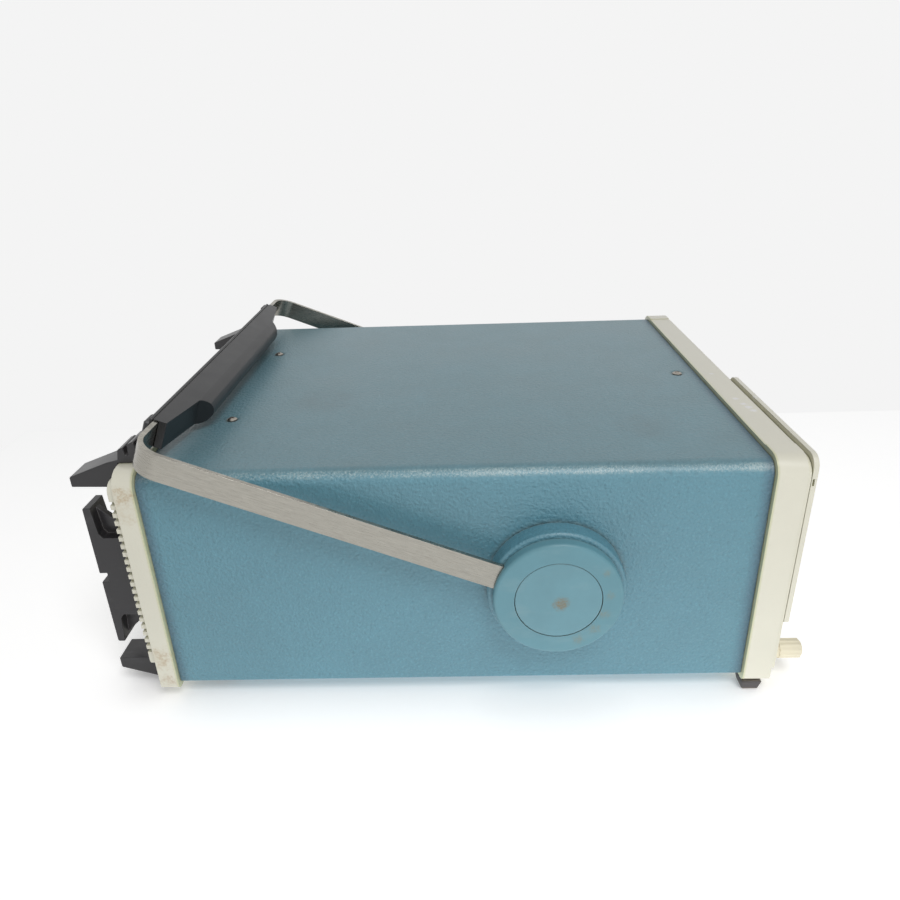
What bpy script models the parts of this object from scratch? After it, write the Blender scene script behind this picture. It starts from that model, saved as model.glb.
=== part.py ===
"""Portable bench function generator, modelled piece by piece.

Run with:  blender --background --python part.py

Sizes are metres and +Z is up.  Inside the script the pieces are placed in the cabinet's
own frame: X runs across the width, Y runs from the front (negative) to the rear, y = 0 is
the rear face of the front frame and z = 0 is the underside of the steel sleeve.  One empty,
cabinet_frame, carries that frame to the row frame, whose origin is the middle of the
footprint at floor level.
"""

import math

import bmesh
import bpy
from mathutils import Matrix, Vector

OBJECT_NAME = "function_generator"

# Running and seating clearances
SEAT_GAP = 0.0003          # between two faces that rest on each other
RUNNING_GAP = 0.0003       # between a moving piece and what it runs in
HOLE_GAP = 0.0005          # round a shaft in a coarse-sided hole

# Steel sleeve
SLEEVE_WIDTH = 0.3233
SLEEVE_HEIGHT = 0.1518
SLEEVE_LENGTH = 0.3668
SLEEVE_SHEET = 0.0016
SLEEVE_RADIUS = 0.009
SLEEVE_BOTTOM_RADIUS = 0.0022

# Cast frames at both ends
FRAME_PROUD = 0.0033       # how far a frame stands out from the sleeve
FRAME_LAND = 0.0110        # width of a frame from its outer edge to its opening
FRONT_FRAME_DEPTH = 0.0174
REAR_FRAME_DEPTH = 0.0121
FRAME_TOP_RADIUS = 0.012
FRAME_BOTTOM_RADIUS = 0.004
FRAME_EDGE = 0.0008
FRAME_CROWN_RECESS = 0.0006
FRAME_CORNER_PAD = 0.022

# Front panel and display
PANEL_SHEET = 0.0031
PANEL_INSET = 0.0035
PANEL_BOTTOM = 0.007
BEZEL_DEPTH = 0.0031
BEZEL_RIGHT = -0.018
BEZEL_BOTTOM = 0.040
BEZEL_LAND = 0.013
BEZEL_SLOT_WIDTH = 0.0012
BEZEL_SLOT_HEIGHT = 0.0045
BEZEL_SLOT_TOP = 0.014     # below the bezel's top edge
BEZEL_SLOT_DEPTH = 0.002
WINDOW_SHEET = 0.002
TUBE_LENGTH = 0.170
TUBE_MARGIN = 0.0008       # how far the tube's face reaches past the window all round
TUBE_TAPER = 0.28
TUBE_NECK_RADIUS = 0.015
TUBE_NECK_LENGTH = 0.060

# Rear cover
COVER_SHEET = 0.0043
COVER_SIDE_INSET = 0.00295  # from the rear frame's edges
COVER_TOP_INSET = 0.0075
COVER_BOTTOM_INSET = 0.0183
COVER_EDGE = 0.0008
SIDE_SLOT_PITCH = 0.0054
SIDE_SLOT_MARGIN = 0.012   # from the cover's ends to the first and last slots
SIDE_SLOT_HEIGHT = 0.0026
SIDE_SLOT_DEPTH = 0.003
SIDE_VENT_DEPTH = 0.009    # the slots' inner part, which breathes into the cabinet
SIDE_VENT_WIDTH = 0.0024
GRILLE_PITCH = 0.0058
GRILLE_ROWS = 4            # rows of the fan grille above and below its middle
GRILLE_HEIGHT = 0.0030
GRILLE_MARGIN = 0.001

# Carrying handle and its two hubs
PIVOT_Y = 0.1225
PIVOT_BELOW_MIDDLE = 0.0008
HANDLE_REACH = 0.256       # pivot to the outer face of the cross bar
HANDLE_LID_CLEARANCE = 0.0027
STRIP_WIDTH = 0.016
STRIP_SHEET = 0.003
STRIP_BEND = 0.017
STRIP_START = 0.028        # the arms begin this far from the pivot, inside the hub caps
HUB_BASE_RADIUS = 0.0415
HUB_BASE_DEPTH = 0.0124
HUB_BORE_RADIUS = 0.0123
HUB_CAP_RADIUS = 0.0384
HUB_CAP_DEPTH = 0.0072
HUB_CAP_FLOOR = 0.0009
HUB_RUNNING_GAP = 0.00035  # hub cap face to hub base face
SPIGOT_LENGTH = 0.0115
BUTTON_RADIUS = 0.0257
BUTTON_DISC = 0.0032
BUTTON_STEM_RADIUS = 0.005
BUTTON_STEM_LENGTH = 0.008
GRIP_END_INSET = 0.02065   # from the sleeve's sides to the ends of the grip
GRIP_MIDDLE_INSET = 0.07165
GRIP_SHOULDER = 0.008
GRIP_HALF_WIDTH = 0.009
GRIP_MIDDLE_DEPTH = 0.0185
GRIP_END_DEPTH = 0.0045
GRIP_SHOULDER_DEPTH = 0.010
GRIP_COVER_DEPTH = 0.0022
GRIP_CLAMP_DEPTH = 0.0045
GRIP_CLAMP_LENGTH = 0.012
GRIP_CLAMP_OVERHANG = 0.002

# Rear feet and cord cleats
REAR_FOOT_INSET = 0.01495  # from the rear frame's sides
REAR_FOOT_WIDTH = 0.020
REAR_FOOT_REACH = 0.0270   # from the rear cover to the toes
CLEAT_INSET = 0.01595
CLEAT_WIDTH = 0.018
CLEAT_END_INSET = 0.0290   # from the rear frame's top and bottom to the horns
CLEAT_BELOW_MIDDLE = 0.001
CLEAT_HORN_HEIGHT = 0.0212
CLEAT_REACH = 0.025        # from the rear cover to the outer face
CLEAT_HORN = 0.0045
CLEAT_NOTCH_HALF = 0.0033
CLEAT_NOTCH_DEPTH = 0.0046
CLEAT_GUSSET_SHEET = 0.004

# Feet under the cabinet
FOOT_HEIGHT = 0.0073       # below the front frame
FOOT_WIDTH = 0.014
FOOT_DEPTH = 0.0134
FOOT_TAPER = 0.0015
REAR_PAD_INSET = 0.01595
REAR_PAD_FROM_REAR = 0.0218

# Screws on the lid, as (x, y)
LID_SCREWS = ((0.0725, SLEEVE_LENGTH - 0.0318), (-0.0755, SLEEVE_LENGTH - 0.0333), (-0.0037, 0.0138))
SCREW_HEAD_RADIUS = 0.0034
SCREW_HEAD_HEIGHT = 0.0016
SCREW_SHANK_RADIUS = 0.0015
SCREW_SHANK_LENGTH = 0.008
SCREW_TURN = 35            # each screw stops this many degrees on from the last
DIMPLE_RADIUS = 0.006
DIMPLE_DEPTH = 0.0008

# Controls on the front
FOCUS_KNOB_INSET = 0.01165  # from the sleeve's side
FOCUS_KNOB_Z = 0.011
FOCUS_KNOB_RADIUS = 0.0064
FOCUS_KNOB_LENGTH = 0.0145
FOCUS_KNOB_COLLAR = 0.0045
DIAL_X = 0.038
DIAL_RISE = 0.566          # share of the way from the lower row up to the wave keys
DIAL_RADIUS = 0.024
DIAL_SKIRT = 0.004
DIAL_LENGTH = 0.018
TRIM_KNOB_INSET = 0.03965
TRIM_KNOB_RISES = {"amplitude_knob": 0.779, "offset_knob": 0.513, "symmetry_knob": 0.248}
TRIM_KNOB_SKIRT = 0.003
TRIM_KNOB_RADIUS = 0.0085
TRIM_KNOB_LENGTH = 0.015
SHAFT_RADIUS = 0.003
WAVE_KEYS = ("sine_key", "square_key", "triangle_key", "ramp_key", "pulse_key", "dc_key")
WAVE_KEY_FIRST = 0.006
WAVE_KEY_PITCH = 0.023
WAVE_KEY_FROM_TOP = 0.0148
RANGE_KEY_COUNT = 5
RANGE_KEY_FIRST = -0.098
RANGE_KEY_PITCH = 0.018
LOWER_KEY_Z = 0.024
POWER_KEY_X = -0.122
KEY_WIDTH = 0.012
KEY_HEIGHT = 0.008
KEY_PROUD = 0.0038
KEY_STEM = 0.0015          # how far a key reaches behind the panel
SOCKETS = {"sync_socket": 0.012, "sweep_socket": 0.058, "main_socket": 0.122}
SOCKET_RADIUS = 0.0048
SOCKET_FLANGE = 0.0075
SOCKET_LENGTH = 0.012
SOCKET_WALL = 0.0008
SOCKET_TAIL = 0.006

# Inside the cabinet
TRAY_SHEET = 0.0015
TRAY_FLANGE = 0.025
TRAY_BEND = 0.003
BOSS_RADIUS = 0.004
BOSS_HEIGHT = 0.006
BOARD_SHEET = 0.0016
INSIDE_MARGIN = 0.01165    # from the sleeve's sides to what is inside
BOARD_FRONT = 0.030
BOARD_FROM_REAR = 0.0268
BOARD_BOSS_INSET = 0.008
BOARD_MODULES = {           # from the board's corner: x, y, width, length and height
    "processor": (0.065, 0.070, 0.040, 0.040, 0.004),
    "output_stage": (0.145, 0.030, 0.030, 0.050, 0.022),
    "crystal": (0.075, 0.170, 0.020, 0.012, 0.008),
    "regulator": (0.145, 0.220, 0.016, 0.030, 0.018),
    "memory": (0.015, 0.230, 0.018, 0.040, 0.005),
}
SUPPLY_WIDTH = 0.095
SUPPLY_LENGTH = 0.120
SUPPLY_HEIGHT = 0.068
SUPPLY_FROM_REAR = 0.0218
SUPPLY_TO_BOARD = 0.010
FAN_X = 0.060
FAN_SIZE = 0.060
FAN_DEPTH = 0.020
FAN_BORE = 0.0275
FAN_HUB_RADIUS = 0.011
FAN_BLADES = 7
FAN_BLADE_SHEET = 0.0012
FAN_BLADE_CHORD = 0.009
FAN_BLADE_TILT = 38
FAN_TIP_GAP = 0.0015
FAN_PIN_RADIUS = 0.002
FAN_SPOKE_SHEET = 0.002
FAN_SPOKE_WIDTH = 0.003
INLET_X = -0.070
INLET_Z = 0.040
INLET_WIDTH = 0.0275
INLET_HEIGHT = 0.0200
INLET_FLANGE = 0.004
INLET_DEPTH = 0.022
INLET_PROUD = 0.003
INLET_WALL = 0.002
CONTROL_BOARD_BACK = 0.0085  # behind the front frame's face
CONTROL_BOARD_LEFT = -0.008
CONTROL_BOARD_BOTTOM = 0.040
CONTROL_BOARD_FROM_TOP = 0.0218
POT_RADIUS = 0.008
SHAFT_REACH = 0.004        # how far a knob's shaft goes behind the panel

ROUND_STEPS = 40           # sides of a large round piece, a small one and a hidden one
SMALL_STEPS = 20
HIDDEN_STEPS = 12

PAINT = {
    "blue_enamel": ((0.16, 0.30, 0.35), 0.55, 0.0),
    "blue_moulding": ((0.17, 0.32, 0.37), 0.45, 0.0),
    "ivory_enamel": ((0.80, 0.78, 0.68), 0.45, 0.0),
    "brushed_steel": ((0.42, 0.40, 0.36), 0.35, 1.0),
    "black_moulding": ((0.03, 0.03, 0.03), 0.50, 0.0),
    "dark_rubber": ((0.06, 0.055, 0.055), 0.80, 0.0),
    "ivory_moulding": ((0.76, 0.72, 0.58), 0.45, 0.0),
    "green_glass": ((0.04, 0.10, 0.08), 0.10, 0.0),
    "bright_metal": ((0.60, 0.60, 0.58), 0.25, 1.0),
    "alloy_sheet": ((0.55, 0.56, 0.56), 0.40, 1.0),
    "circuit_board": ((0.05, 0.20, 0.08), 0.50, 0.0),
    "grey_moulding": ((0.22, 0.23, 0.23), 0.50, 0.0),
}

HALF_WIDTH = SLEEVE_WIDTH / 2
FRAME_HALF_WIDTH = HALF_WIDTH + FRAME_PROUD
FRAME_TOP = SLEEVE_HEIGHT + FRAME_PROUD
FRAME_BOTTOM = -FRAME_PROUD
REAR_FRAME_FACE = SLEEVE_LENGTH + REAR_FRAME_DEPTH
COVER_FRONT = REAR_FRAME_FACE + SEAT_GAP
COVER_REAR = COVER_FRONT + COVER_SHEET
COVER_HALF_WIDTH = FRAME_HALF_WIDTH - COVER_SIDE_INSET
COVER_TOP = FRAME_TOP - COVER_TOP_INSET
COVER_BOTTOM = FRAME_BOTTOM + COVER_BOTTOM_INSET
SIDE_SLOT_COUNT = int((COVER_TOP - COVER_BOTTOM - 2 * SIDE_SLOT_MARGIN) / SIDE_SLOT_PITCH) + 1
REAR_FOOT_OUTER = FRAME_HALF_WIDTH - REAR_FOOT_INSET
REAR_FOOT_TIP = COVER_REAR + REAR_FOOT_REACH
CLEAT_OUTER = FRAME_HALF_WIDTH - CLEAT_INSET
CLEAT_MIDDLE_Z = (FRAME_TOP + FRAME_BOTTOM) / 2 - CLEAT_BELOW_MIDDLE
CLEAT_HALF_HEIGHT = (FRAME_TOP - FRAME_BOTTOM) / 2 - CLEAT_END_INSET
CLEAT_BODY_HALF_HEIGHT = CLEAT_HALF_HEIGHT - CLEAT_HORN_HEIGHT
REAR_PAD_OUTER = FRAME_HALF_WIDTH - REAR_PAD_INSET
REAR_PAD_Y = SLEEVE_LENGTH - REAR_PAD_FROM_REAR
FAN_Z = (COVER_TOP + COVER_BOTTOM) / 2
PANEL_REAR = -(FRONT_FRAME_DEPTH + SEAT_GAP)
PANEL_FACE = PANEL_REAR - PANEL_SHEET
BEZEL_REAR = PANEL_FACE - SEAT_GAP
BEZEL_FACE = BEZEL_REAR - BEZEL_DEPTH
FOCUS_TIP = PANEL_FACE - SEAT_GAP - FOCUS_KNOB_COLLAR - FOCUS_KNOB_LENGTH
FLOOR = FRAME_BOTTOM - SEAT_GAP - FOOT_HEIGHT
HUB_FACE = HALF_WIDTH + SEAT_GAP + HUB_BASE_DEPTH
CAP_BACK = HUB_FACE + HUB_RUNNING_GAP
ARM_BACK = CAP_BACK + RUNNING_GAP / 3
PIVOT_Z = SLEEVE_HEIGHT / 2 - PIVOT_BELOW_MIDDLE

# Controls, as x and z of their middles
WAVE_KEY_Z = SLEEVE_HEIGHT - WAVE_KEY_FROM_TOP
SOCKET_Z = LOWER_KEY_Z
FOCUS_KNOB = (FOCUS_KNOB_INSET - HALF_WIDTH, FOCUS_KNOB_Z)
DIAL = (DIAL_X, LOWER_KEY_Z + DIAL_RISE * (WAVE_KEY_Z - LOWER_KEY_Z))
TRIM_KNOBS = {name: (HALF_WIDTH - TRIM_KNOB_INSET, LOWER_KEY_Z + rise * (WAVE_KEY_Z - LOWER_KEY_Z))
              for name, rise in TRIM_KNOB_RISES.items()}

# The grip's inner face, and the angle at which it lies just clear of the lid
GRIP_HALF_LENGTH = HALF_WIDTH - GRIP_END_INSET
GRIP_MIDDLE_HALF = HALF_WIDTH - GRIP_MIDDLE_INSET
GRIP_BACK = HANDLE_REACH - STRIP_SHEET - SEAT_GAP
GRIP_INNER = GRIP_BACK - GRIP_MIDDLE_DEPTH
LIFT = SLEEVE_HEIGHT + HANDLE_LID_CLEARANCE - PIVOT_Z
HANDLE_REST_ANGLE = (math.asin(LIFT / math.hypot(GRIP_INNER, GRIP_HALF_WIDTH))
                     + math.atan2(GRIP_HALF_WIDTH, GRIP_INNER))

# Places inside the cabinet, as (x, y)
SUPPLY_LOW = (INSIDE_MARGIN - HALF_WIDTH, SLEEVE_LENGTH - SUPPLY_FROM_REAR - SUPPLY_LENGTH)
SUPPLY_HIGH = (SUPPLY_LOW[0] + SUPPLY_WIDTH, SLEEVE_LENGTH - SUPPLY_FROM_REAR)
BOARD_LOW = (SUPPLY_HIGH[0] + SUPPLY_TO_BOARD, BOARD_FRONT)
BOARD_HIGH = (HALF_WIDTH - INSIDE_MARGIN, SLEEVE_LENGTH - BOARD_FROM_REAR)


def clear_scene():
    """Remove everything that the file opened with."""
    for obj in list(bpy.data.objects):
        bpy.data.objects.remove(obj, do_unlink=True)


def new_collection(name):
    """Add an empty collection to the scene."""
    collection = bpy.data.collections.new(name)
    bpy.context.scene.collection.children.link(collection)
    return collection


def new_material(name):
    """Make a Principled material from the PAINT table."""
    color, roughness, metallic = PAINT[name]
    material = bpy.data.materials.new(name)
    material.use_nodes = True
    shader = material.node_tree.nodes["Principled BSDF"]
    shader.inputs["Base Color"].default_value = (*color, 1.0)
    shader.inputs["Roughness"].default_value = roughness
    shader.inputs["Metallic"].default_value = metallic
    material.diffuse_color = (*color, 1.0)
    return material


clear_scene()
PARTS = new_collection(OBJECT_NAME)
CUTTERS = new_collection("cutters")
MATERIALS = {name: new_material(name) for name in PAINT}


def new_empty(name, location=(0, 0, 0), rotation=(0, 0, 0), parent=None):
    """Add an empty that carries a frame or a joint's axis."""
    empty = bpy.data.objects.new(name, None)
    empty.empty_display_size = 0.02
    empty.location = location
    empty.rotation_euler = rotation
    empty.parent = parent
    PARTS.objects.link(empty)
    return empty


CABINET_FRAME = new_empty("cabinet_frame", (0, -(FOCUS_TIP + REAR_FOOT_TIP) / 2, -FLOOR))


def new_object(name, data, paint=None, parent=CABINET_FRAME, location=(0, 0, 0), rotation=(0, 0, 0)):
    """Link one object: a part when it has a paint, else a cutter."""
    obj = bpy.data.objects.new(name, data)
    obj.location = location
    obj.rotation_euler = rotation
    obj.parent = parent
    if paint is None:
        CUTTERS.objects.link(obj)
        obj.hide_render = True
        obj.display_type = "WIRE"
    else:
        PARTS.objects.link(obj)
        data.materials.append(MATERIALS[paint])
    return obj


def shade(obj, angle=35):
    """Shade an object smooth, with edges sharper than the angle kept crisp."""
    obj.data.shade_smooth()
    obj.data.set_sharp_from_angle(angle=math.radians(angle))


def add_bevel(obj, width, segments=1, angle=50):
    """Round the sharp edges of an object."""
    bevel = obj.modifiers.new("bevel", "BEVEL")
    bevel.width = width
    bevel.segments = segments
    bevel.limit_method = "ANGLE"
    bevel.angle_limit = math.radians(angle)


def combine(target, other, operation):
    """Cut another solid out of the target, or join it on."""
    boolean = target.modifiers.new(other.name, "BOOLEAN")
    boolean.operation = operation
    boolean.solver = "EXACT"
    boolean.object = other


def cut(target, *others):
    """Cut each of the other solids out of the target."""
    for other in others:
        combine(target, other, "DIFFERENCE")


def join(target, *others):
    """Join each of the other solids on to the target."""
    for other in others:
        combine(target, other, "UNION")


def box(name, low, high, paint=None, bevel=0.0, parent=CABINET_FRAME):
    """A block between two corners, with rounded edges if a bevel is given."""
    low, high = Vector(low), Vector(high)
    bm = bmesh.new()
    bmesh.ops.create_cube(bm, size=1.0)
    bmesh.ops.scale(bm, vec=high - low, verts=bm.verts)
    mesh = bpy.data.meshes.new(name)
    bm.to_mesh(mesh)
    bm.free()
    obj = new_object(name, mesh, paint, parent, (low + high) / 2)
    if bevel:
        add_bevel(obj, bevel)
        shade(obj)
    return obj


def tapered_block(name, low, high, taper, paint, bevel=0.0008):
    """A block whose underside is smaller than its top by the taper all round."""
    low, high = Vector(low), Vector(high)
    size = high - low
    bm = bmesh.new()
    bmesh.ops.create_cube(bm, size=1.0)
    bmesh.ops.scale(bm, vec=size, verts=bm.verts)
    for vert in bm.verts:
        if vert.co.z < 0:
            vert.co.x -= math.copysign(taper, vert.co.x)
            vert.co.y -= math.copysign(taper, vert.co.y)
    mesh = bpy.data.meshes.new(name)
    bm.to_mesh(mesh)
    bm.free()
    obj = new_object(name, mesh, paint, location=(low + high) / 2)
    add_bevel(obj, bevel)
    shade(obj)
    return obj


def cylinder(name, radius, start, end, steps=SMALL_STEPS, paint=None, parent=CABINET_FRAME):
    """A round bar from one point to another."""
    start, end = Vector(start), Vector(end)
    bm = bmesh.new()
    bmesh.ops.create_cone(bm, cap_ends=True, segments=steps, radius1=radius, radius2=radius,
                          depth=(end - start).length)
    mesh = bpy.data.meshes.new(name)
    bm.to_mesh(mesh)
    bm.free()
    turn = (end - start).to_track_quat("Z", "Y").to_euler()
    obj = new_object(name, mesh, paint, parent, (start + end) / 2, turn)
    shade(obj)
    return obj


def turned(name, profile, paint=None, steps=ROUND_STEPS, parent=CABINET_FRAME,
           location=(0, 0, 0), rotation=(0, 0, 0)):
    """A turned piece: the profile's (radius, height) points run top to bottom at +X."""
    mesh = bpy.data.meshes.new(name)
    verts = [(radius, 0, height) for radius, height in profile]
    edges = [(index, index + 1) for index in range(len(verts) - 1)]
    if profile[0][0] > 0:
        edges.append((len(verts) - 1, 0))
    mesh.from_pydata(verts, edges, [])
    obj = new_object(name, mesh, paint, parent, location, rotation)
    screw = obj.modifiers.new("turn", "SCREW")
    screw.axis = "Z"
    screw.steps = steps
    screw.render_steps = steps
    screw.use_merge_vertices = True
    screw.merge_threshold = 0.00001
    screw.use_smooth_shade = True
    return obj


def prism(name, points, depth, paint=None, parent=CABINET_FRAME, location=(0, 0, 0), rotation=(0, 0, 0)):
    """A flat outline of (x, y) points, extruded half the depth to each side of its plane."""
    curve = bpy.data.curves.new(name, "CURVE")
    curve.dimensions = "2D"
    curve.fill_mode = "BOTH"
    curve.extrude = depth / 2
    spline = curve.splines.new("POLY")
    spline.points.add(len(points) - 1)
    for point, (x, y) in zip(spline.points, points):
        point.co = (x, y, 0, 1)
    spline.use_cyclic_u = True
    outline = bpy.data.objects.new(name, curve)
    CUTTERS.objects.link(outline)
    bpy.context.view_layer.update()
    evaluated = outline.evaluated_get(bpy.context.evaluated_depsgraph_get())
    mesh = bpy.data.meshes.new_from_object(evaluated)
    bpy.data.objects.remove(outline)
    bm = bmesh.new()
    bm.from_mesh(mesh)
    bmesh.ops.remove_doubles(bm, verts=bm.verts, dist=0.000001)
    bmesh.ops.recalc_face_normals(bm, faces=bm.faces)
    bm.to_mesh(mesh)
    bm.free()
    return new_object(name, mesh, paint, parent, location, rotation)


def across_y(name, points, front, rear, paint=None):
    """An outline of (x, z) points, extruded along Y from the front place to the rear one."""
    return prism(name, points, rear - front, paint, location=(0, (front + rear) / 2, 0),
                 rotation=(math.radians(90), 0, 0))


def across_x(name, points, left, right, paint=None):
    """An outline of (y, z) points, extruded along X from the left place to the right one."""
    return prism(name, points, right - left, paint, location=((left + right) / 2, 0, 0),
                 rotation=(math.radians(90), 0, math.radians(90)))


def arc(middle, radius, start, end, segments=5):
    """Points along an arc, with the angles in degrees."""
    points = []
    for index in range(segments + 1):
        angle = math.radians(start + (end - start) * index / segments)
        points.append((middle[0] + radius * math.cos(angle), middle[1] + radius * math.sin(angle)))
    return points


def rounded_outline(left, right, bottom, top, bottom_radius, top_radius):
    """A rectangle with one radius for its two lower corners and one for its two upper ones."""
    points = arc((left + bottom_radius, bottom + bottom_radius), bottom_radius, 180, 270)
    points += arc((right - bottom_radius, bottom + bottom_radius), bottom_radius, 270, 360)
    points += arc((right - top_radius, top - top_radius), top_radius, 0, 90)
    points += arc((left + top_radius, top - top_radius), top_radius, 90, 180)
    return points


def sleeve_outline(inset):
    """The sleeve's section, or that section drawn in by a distance."""
    return rounded_outline(-HALF_WIDTH + inset, HALF_WIDTH - inset, inset, SLEEVE_HEIGHT - inset,
                           SLEEVE_BOTTOM_RADIUS - inset, SLEEVE_RADIUS - inset)


def frame_outline():
    """The outer edge of a cast frame."""
    return rounded_outline(-FRAME_HALF_WIDTH, FRAME_HALF_WIDTH, FRAME_BOTTOM, FRAME_TOP,
                           FRAME_BOTTOM_RADIUS, FRAME_TOP_RADIUS)


def frame_opening_outline():
    """The opening inside a cast frame."""
    return rounded_outline(-FRAME_HALF_WIDTH + FRAME_LAND, FRAME_HALF_WIDTH - FRAME_LAND,
                           FRAME_BOTTOM + FRAME_LAND, FRAME_TOP - FRAME_LAND,
                           FRAME_BOTTOM_RADIUS, FRAME_BOTTOM_RADIUS)


def build_sleeve():
    """The blue steel sleeve, with three dimpled screw holes in its lid."""
    front, rear = SEAT_GAP, SLEEVE_LENGTH - SEAT_GAP
    sleeve = across_y("cabinet_sleeve", sleeve_outline(0), front, rear, "blue_enamel")
    bore = across_y("sleeve_bore", sleeve_outline(SLEEVE_SHEET), front - 0.01, rear + 0.01)
    cut(sleeve, bore)
    for number, (x, y) in enumerate(LID_SCREWS, start=1):
        floor = SLEEVE_HEIGHT - DIMPLE_DEPTH
        hole = SCREW_SHANK_RADIUS + RUNNING_GAP
        seat = SCREW_HEAD_RADIUS + SEAT_GAP * 2
        profile = ((0, SLEEVE_HEIGHT + 0.002), (DIMPLE_RADIUS + 0.001, SLEEVE_HEIGHT + 0.002),
                   (DIMPLE_RADIUS, SLEEVE_HEIGHT), (seat, floor), (hole, floor),
                   (hole, SLEEVE_HEIGHT - 0.01), (0, SLEEVE_HEIGHT - 0.01))
        cut(sleeve, turned(f"dimple_{number}", profile, steps=SMALL_STEPS, location=(x, y, 0)))
    shade(sleeve)


def build_lid_screws():
    """Pan-head screws that sit in the dimples of the lid."""
    under = SLEEVE_HEIGHT - DIMPLE_DEPTH + SEAT_GAP
    for number, (x, y) in enumerate(LID_SCREWS, start=1):
        top = under + SCREW_HEAD_HEIGHT
        profile = ((0, top), (SCREW_HEAD_RADIUS * 0.6, top - 0.0002), (SCREW_HEAD_RADIUS, under + 0.0005),
                   (SCREW_HEAD_RADIUS, under), (SCREW_SHANK_RADIUS, under),
                   (SCREW_SHANK_RADIUS, under - SCREW_SHANK_LENGTH), (0, under - SCREW_SHANK_LENGTH))
        screw = turned(f"lid_screw_{number}", profile, "bright_metal", SMALL_STEPS, location=(x, y, 0))
        arm = SCREW_HEAD_RADIUS * 0.6
        slot = box(f"screw_slot_{number}", (-arm, -0.0005, -0.0007), (arm, 0.0005, 0.001))
        slot.location = (x, y, top)
        slot.rotation_euler = (0, 0, math.radians(SCREW_TURN * number))
        cut(screw, slot)


def build_frames():
    """The two cast frames, which clamp the sleeve between them."""
    places = {"front_frame": (-FRONT_FRAME_DEPTH, 0), "rear_frame": (SLEEVE_LENGTH, REAR_FRAME_FACE)}
    for name, (front, rear) in places.items():
        frame = across_y(name, frame_outline(), front, rear, "ivory_enamel")
        add_bevel(frame, FRAME_EDGE, 2)
        cut(frame, across_y(f"{name}_opening", frame_opening_outline(), front - 0.01, rear + 0.01))
        if name == "front_frame":
            reach = FRAME_HALF_WIDTH - FRAME_CORNER_PAD
            cut(frame, box("crown_recess", (-reach, front - 0.01, FRAME_TOP - FRAME_CROWN_RECESS),
                           (reach, rear + 0.01, FRAME_TOP + 0.01)))
        shade(frame)


def key_hole(panel, name, x, z):
    """Cut a key's hole through the front panel."""
    half_width = KEY_WIDTH / 2 + RUNNING_GAP
    half_height = KEY_HEIGHT / 2 + RUNNING_GAP
    cut(panel, box(f"{name}_hole", (x - half_width, PANEL_FACE - 0.01, z - half_height),
                   (x + half_width, PANEL_REAR + 0.01, z + half_height)))


def round_hole(panel, name, x, z, radius):
    """Cut a round hole through the front panel."""
    cut(panel, cylinder(f"{name}_hole", radius, (x, PANEL_FACE - 0.01, z), (x, PANEL_REAR + 0.01, z),
                        HIDDEN_STEPS))


def key_places():
    """Name and middle of every push key on the front."""
    places = {name: (WAVE_KEY_FIRST + WAVE_KEY_PITCH * index, WAVE_KEY_Z)
              for index, name in enumerate(WAVE_KEYS)}
    for index in range(RANGE_KEY_COUNT):
        places[f"range_key_{index + 1}"] = (RANGE_KEY_FIRST + RANGE_KEY_PITCH * index, LOWER_KEY_Z)
    places["power_key"] = (POWER_KEY_X, LOWER_KEY_Z)
    return places


def knob_places():
    """Name and middle of every knob on the front."""
    return {"focus_knob": FOCUS_KNOB, "frequency_dial": DIAL, **TRIM_KNOBS}


def window_outline(inset):
    """The display's window, or that outline drawn in by a distance."""
    left = -FRAME_HALF_WIDTH + PANEL_INSET + BEZEL_LAND + inset
    return rounded_outline(left, BEZEL_RIGHT - BEZEL_LAND - inset, BEZEL_BOTTOM + BEZEL_LAND + inset,
                           FRAME_TOP - BEZEL_LAND - inset, 0.006 - inset, 0.006 - inset)


def build_panel():
    """The front panel, with a hole for the display and for each control."""
    left = -FRAME_HALF_WIDTH + PANEL_INSET
    outline = rounded_outline(left, -left, PANEL_BOTTOM - 0.004, FRAME_TOP - PANEL_INSET, 0.003, 0.010)
    panel = across_y("front_panel", outline, PANEL_FACE, PANEL_REAR, "ivory_enamel")
    add_bevel(panel, 0.0005)
    cut(panel, across_y("panel_window", window_outline(0), PANEL_FACE - 0.01, PANEL_REAR + 0.01))
    for name, (x, z) in key_places().items():
        key_hole(panel, name, x, z)
    for name, (x, z) in knob_places().items():
        round_hole(panel, name, x, z, SHAFT_RADIUS + HOLE_GAP)
    for name, x in SOCKETS.items():
        round_hole(panel, name, x, SOCKET_Z, SOCKET_RADIUS + HOLE_GAP)
    shade(panel)


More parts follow.
